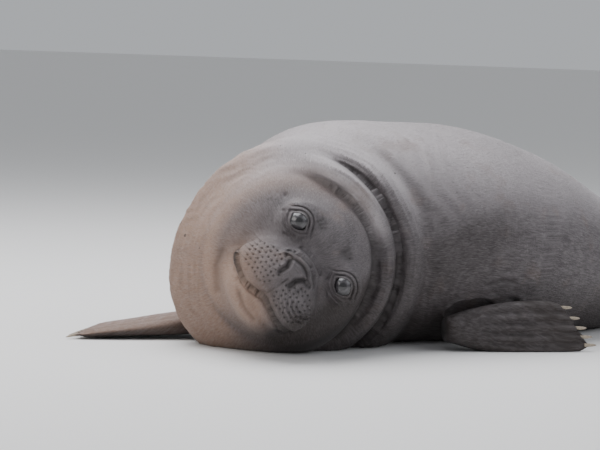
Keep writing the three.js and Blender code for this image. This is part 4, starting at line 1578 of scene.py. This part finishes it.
class SEAL_OT_eyes(bpy.types.Operator):
    """Make the two glossy eyes"""

    bl_idname = "seal.eyes"
    bl_label = "Eyes"

    def execute(self, context):
        material = eye_material(context.scene.seal_hide)
        for name, _ in EYES:
            middle = eye_middle(name)
            eye = mesh_piece("eyeball_" + name, *eyeball_mesh(middle))
            away = points_of(eye.data) - middle
            off = np.linalg.norm(away - np.outer(away @ NOSE, NOSE), axis=1) / EYEBALL_RADIUS
            off = np.where(away @ NOSE > 0, off, 1.0)
            store(eye.data, "from_pupil", "FLOAT", off)
            eye.data.materials.append(material)
            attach(eye, BODY)
            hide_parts("eye_" + name)
        return {"FINISHED"}


class SEAL_OT_claws(bpy.types.Operator):
    """Make the claws of both fore flippers"""

    bl_idname = "seal.claws"
    bl_label = "Claws"

    def execute(self, context):
        settings = context.scene.seal_hide
        material = horn_material("claw_horn", settings.claw, settings.claw_tip)
        for blade in FLIPPERS[:2]:
            for digit in range(1, DIGITS + 1):
                node = blade["name"].replace("fore_flipper", "claw") + f"_{digit}"
                claw = mesh_piece("fine_" + node, *claw_mesh(blade, digit))
                claw.data.materials.append(material)
                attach(claw, BODY)
                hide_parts(node)
        return {"FINISHED"}


WHISKER_SEED = 11
WHISKER_SUNK = 1.5
WHISKER_LENGTHS = (9, 20)
WHISKER_THICK = 0.34
WHISKER_SPREAD = 0.12


def whisker_rings(start, ahead, droop, long, thick, steps=8, sides=5):
    """One whisker, thinner to its tip."""
    rings = []
    side = np.cross(ahead, (0.13, 0.2, 0.97))
    side /= np.linalg.norm(side)
    up = np.cross(side, ahead)
    for i in range(steps + 1):
        t = i / steps
        middle = start + ahead * (long * t) + droop * (long * 0.35 * t * t)
        size = thick * (1 - 0.88 * t)
        ring = []
        for j in range(sides):
            turn = 2 * math.pi * j / sides
            ring.append(middle + size * (math.cos(turn) * side + math.sin(turn) * up))
        rings.append(ring)
    return rings_mesh(rings)


class SEAL_OT_whiskers(bpy.types.Operator):
    """Set the short whiskers on both pads and brows"""

    bl_idname = "seal.whiskers"
    bl_label = "Whiskers"

    def execute(self, context):
        draw = np.random.default_rng(WHISKER_SEED)
        spots = [(s * x, y, 0) for s in (1, -1) for x, y in whisker_pits()]
        spots += [(*mark[0], 1) for mark in BROW_MARKS]
        levels = np.arange(90, -80, -1.0)
        all_points, all_faces, used = [], [], 0
        for side, crown, brow in spots:
            line = from_head(np.full(len(levels), side), np.full(len(levels), crown), levels)
            inside = np.nonzero(body_form(line) < 0)[0]
            if not len(inside):
                continue
            start = line[inside[0]] - NOSE * WHISKER_SUNK
            out = np.sign(side) * SIDE * 0.9 - CROWN * (0.25 if not brow else -0.5)
            ahead = NOSE * 0.75 + out + draw.normal(0, WHISKER_SPREAD, 3)
            ahead /= np.linalg.norm(ahead)
            droop = np.sign(side) * SIDE * 0.4 - NOSE * 0.9
            long = draw.uniform(*WHISKER_LENGTHS) * (1 + 0.018 * max(0, abs(side) - 40))
            points, faces = whisker_rings(start, ahead, droop, long, WHISKER_THICK)
            all_points.append(points)
            all_faces.append(faces + used)
            used += len(points)
        points = np.concatenate(all_points)
        points[:, 2] = np.maximum(points[:, 2], WHISKER_CLEAR)
        whiskers = mesh_piece("whiskers", points, np.concatenate(all_faces))
        whiskers.data.materials.append(whisker_material())
        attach(whiskers, BODY)
        return {"FINISHED"}


# Stage.

CAMERA_AWAY = 4.5
CAMERA_HIGH = 0.602
CAMERA_ROLL = -2.0
MM_PER_PIXEL = 1.87
PHOTO_WIDTH = 600
EYE_LEVEL = 187.5  # pixels from the middle of the picture up to the camera's own height
PLAN_MIDDLE = (0.2, 0.38)
LIT_PLACE = (0.1, 0.3, 0.2)
# Name, place to the camera's right, away from it and up, size, power and tint.
LIGHTS = (
    ("sky", (-0.6, 0.9, 3.2), (3.4, 3.0), 170, (0.96, 0.97, 1.0)),
    ("window", (-3.0, -1.2, 1.9), (2.6, 2.2), 44, (1.0, 0.97, 0.93)),
    ("fill", (2.9, -0.2, 2.4), (2.8, 2.4), 26, (0.92, 0.95, 1.0)),
)


def in_row(right, away, up):
    """From the camera's plan, in metres, to the row's frame."""
    c = math.sqrt(0.5)
    dr, dd = right - PLAN_MIDDLE[0], away - PLAN_MIDDLE[1]
    return Vector((-c * (dr + dd), c * (dr - dd), up))


def make_camera():
    """The camera, where the photographer's was."""
    focal = CAMERA_AWAY * 1000 / MM_PER_PIXEL
    ahead = (in_row(0, 0, 0) - in_row(0, -1, 0)).normalized()
    right = (in_row(1, 0, 0) - in_row(0, 0, 0)).normalized()
    up = Vector((0, 0, 1))
    pitch = math.atan(EYE_LEVEL / focal)
    view = ahead * math.cos(pitch) - up * math.sin(pitch)
    upright = up * math.cos(pitch) + ahead * math.sin(pitch)
    roll = math.radians(CAMERA_ROLL)
    across = right * math.cos(roll) - upright * math.sin(roll)
    tall = upright * math.cos(roll) + right * math.sin(roll)
    camera = bpy.data.cameras.new("camera")
    camera.sensor_width = 36
    camera.lens = 36 * focal / PHOTO_WIDTH
    camera.clip_end = 100
    holder = bpy.data.objects.new("camera", camera)
    placed = Matrix((across, tall, -view)).transposed().to_4x4()
    placed.translation = in_row(0, -CAMERA_AWAY, CAMERA_HIGH)
    holder.matrix_world = placed
    bpy.context.scene.collection.objects.link(holder)
    bpy.context.scene.camera = holder


def area_light(name, place, target, size, power, tint):
    """One soft light that faces the target."""
    lamp = bpy.data.lights.new(name, "AREA")
    lamp.shape = "RECTANGLE"
    lamp.size, lamp.size_y = size
    lamp.energy = power
    lamp.color = tint
    holder = bpy.data.objects.new(name, lamp)
    direction = (target - place).to_track_quat("-Z", "Y")
    holder.matrix_world = Matrix.Translation(place) @ direction.to_matrix().to_4x4()
    bpy.context.scene.collection.objects.link(holder)


FLOOR_RADIUS = 60.0
FLOOR_TONE = (0.78, 0.77, 0.76, 1)
SKY_TONE = (0.86, 0.89, 0.93, 1)
SKY_STRENGTH = 0.55


def floor_mesh(sides=96):
    """A wide flat floor, as a fan of triangles."""
    points = [(0, 0, 0)]
    for j in range(sides):
        turn = 2 * math.pi * j / sides
        points.append((FLOOR_RADIUS * math.cos(turn), FLOOR_RADIUS * math.sin(turn), 0))
    return points, [(0, 1 + j, 1 + (j + 1) % sides) for j in range(sides)]


class SEAL_OT_stage(bpy.types.Operator):
    """Set the floor, the lights and the camera"""

    bl_idname = "seal.stage"
    bl_label = "Stage"

    def execute(self, context):
        points, faces = floor_mesh()
        mesh = bpy.data.meshes.new("floor")
        mesh.from_pydata(points, [], faces)
        floor = bpy.data.objects.new("floor", mesh)
        context.scene.collection.objects.link(floor)
        paint = bpy.data.materials.new("pale_floor")
        paint.use_nodes = True
        shader = paint.node_tree.nodes["Principled BSDF"]
        shader.inputs["Base Color"].default_value = FLOOR_TONE
        shader.inputs["Roughness"].default_value = 0.85
        mesh.materials.append(paint)
        for name, place, size, power, tint in LIGHTS:
            area_light(name, in_row(*place), in_row(*LIT_PLACE), size, power, tint)
        world = bpy.data.worlds.new("studio")
        world.use_nodes = True
        sky = world.node_tree.nodes["Background"]
        sky.inputs["Color"].default_value = SKY_TONE
        sky.inputs["Strength"].default_value = SKY_STRENGTH
        context.scene.world = world
        make_camera()
        return {"FINISHED"}


class SEAL_PT_panel(bpy.types.Panel):
    """Lists the colours, sizes and pieces of the seal."""

    bl_label = "Seal Pup"
    bl_idname = "SEAL_PT_panel"
    bl_space_type = "VIEW_3D"
    bl_region_type = "UI"
    bl_category = "Seal"

    def draw(self, context):
        for title, group in (("Hide", context.scene.seal_hide), ("Coat", context.scene.seal_coat)):
            box = self.layout.box()
            box.label(text=title)
            for name in group.bl_rna.properties.keys():
                if name not in ("rna_type", "name"):
                    box.prop(group, name)
        for operator in OPERATORS:
            self.layout.operator(operator.bl_idname)


OPERATORS = (SEAL_OT_stage, SEAL_OT_skin, SEAL_OT_coat, SEAL_OT_eyes, SEAL_OT_claws, SEAL_OT_whiskers)
CLASSES = (SealHideSettings, SealCoatSettings) + OPERATORS + (SEAL_PT_panel,)


def register():
    for item in CLASSES:
        bpy.utils.register_class(item)
    bpy.types.Scene.seal_hide = bpy.props.PointerProperty(type=SealHideSettings)
    bpy.types.Scene.seal_coat = bpy.props.PointerProperty(type=SealCoatSettings)


def unregister():
    del bpy.types.Scene.seal_hide
    del bpy.types.Scene.seal_coat
    for item in reversed(CLASSES):
        bpy.utils.unregister_class(item)


def main():
    register()
    bpy.ops.seal.stage()
    bpy.ops.seal.skin()
    bpy.ops.seal.coat()
    bpy.ops.seal.eyes()
    bpy.ops.seal.claws()
    bpy.ops.seal.whiskers()


if __name__ == "__main__":
    main()
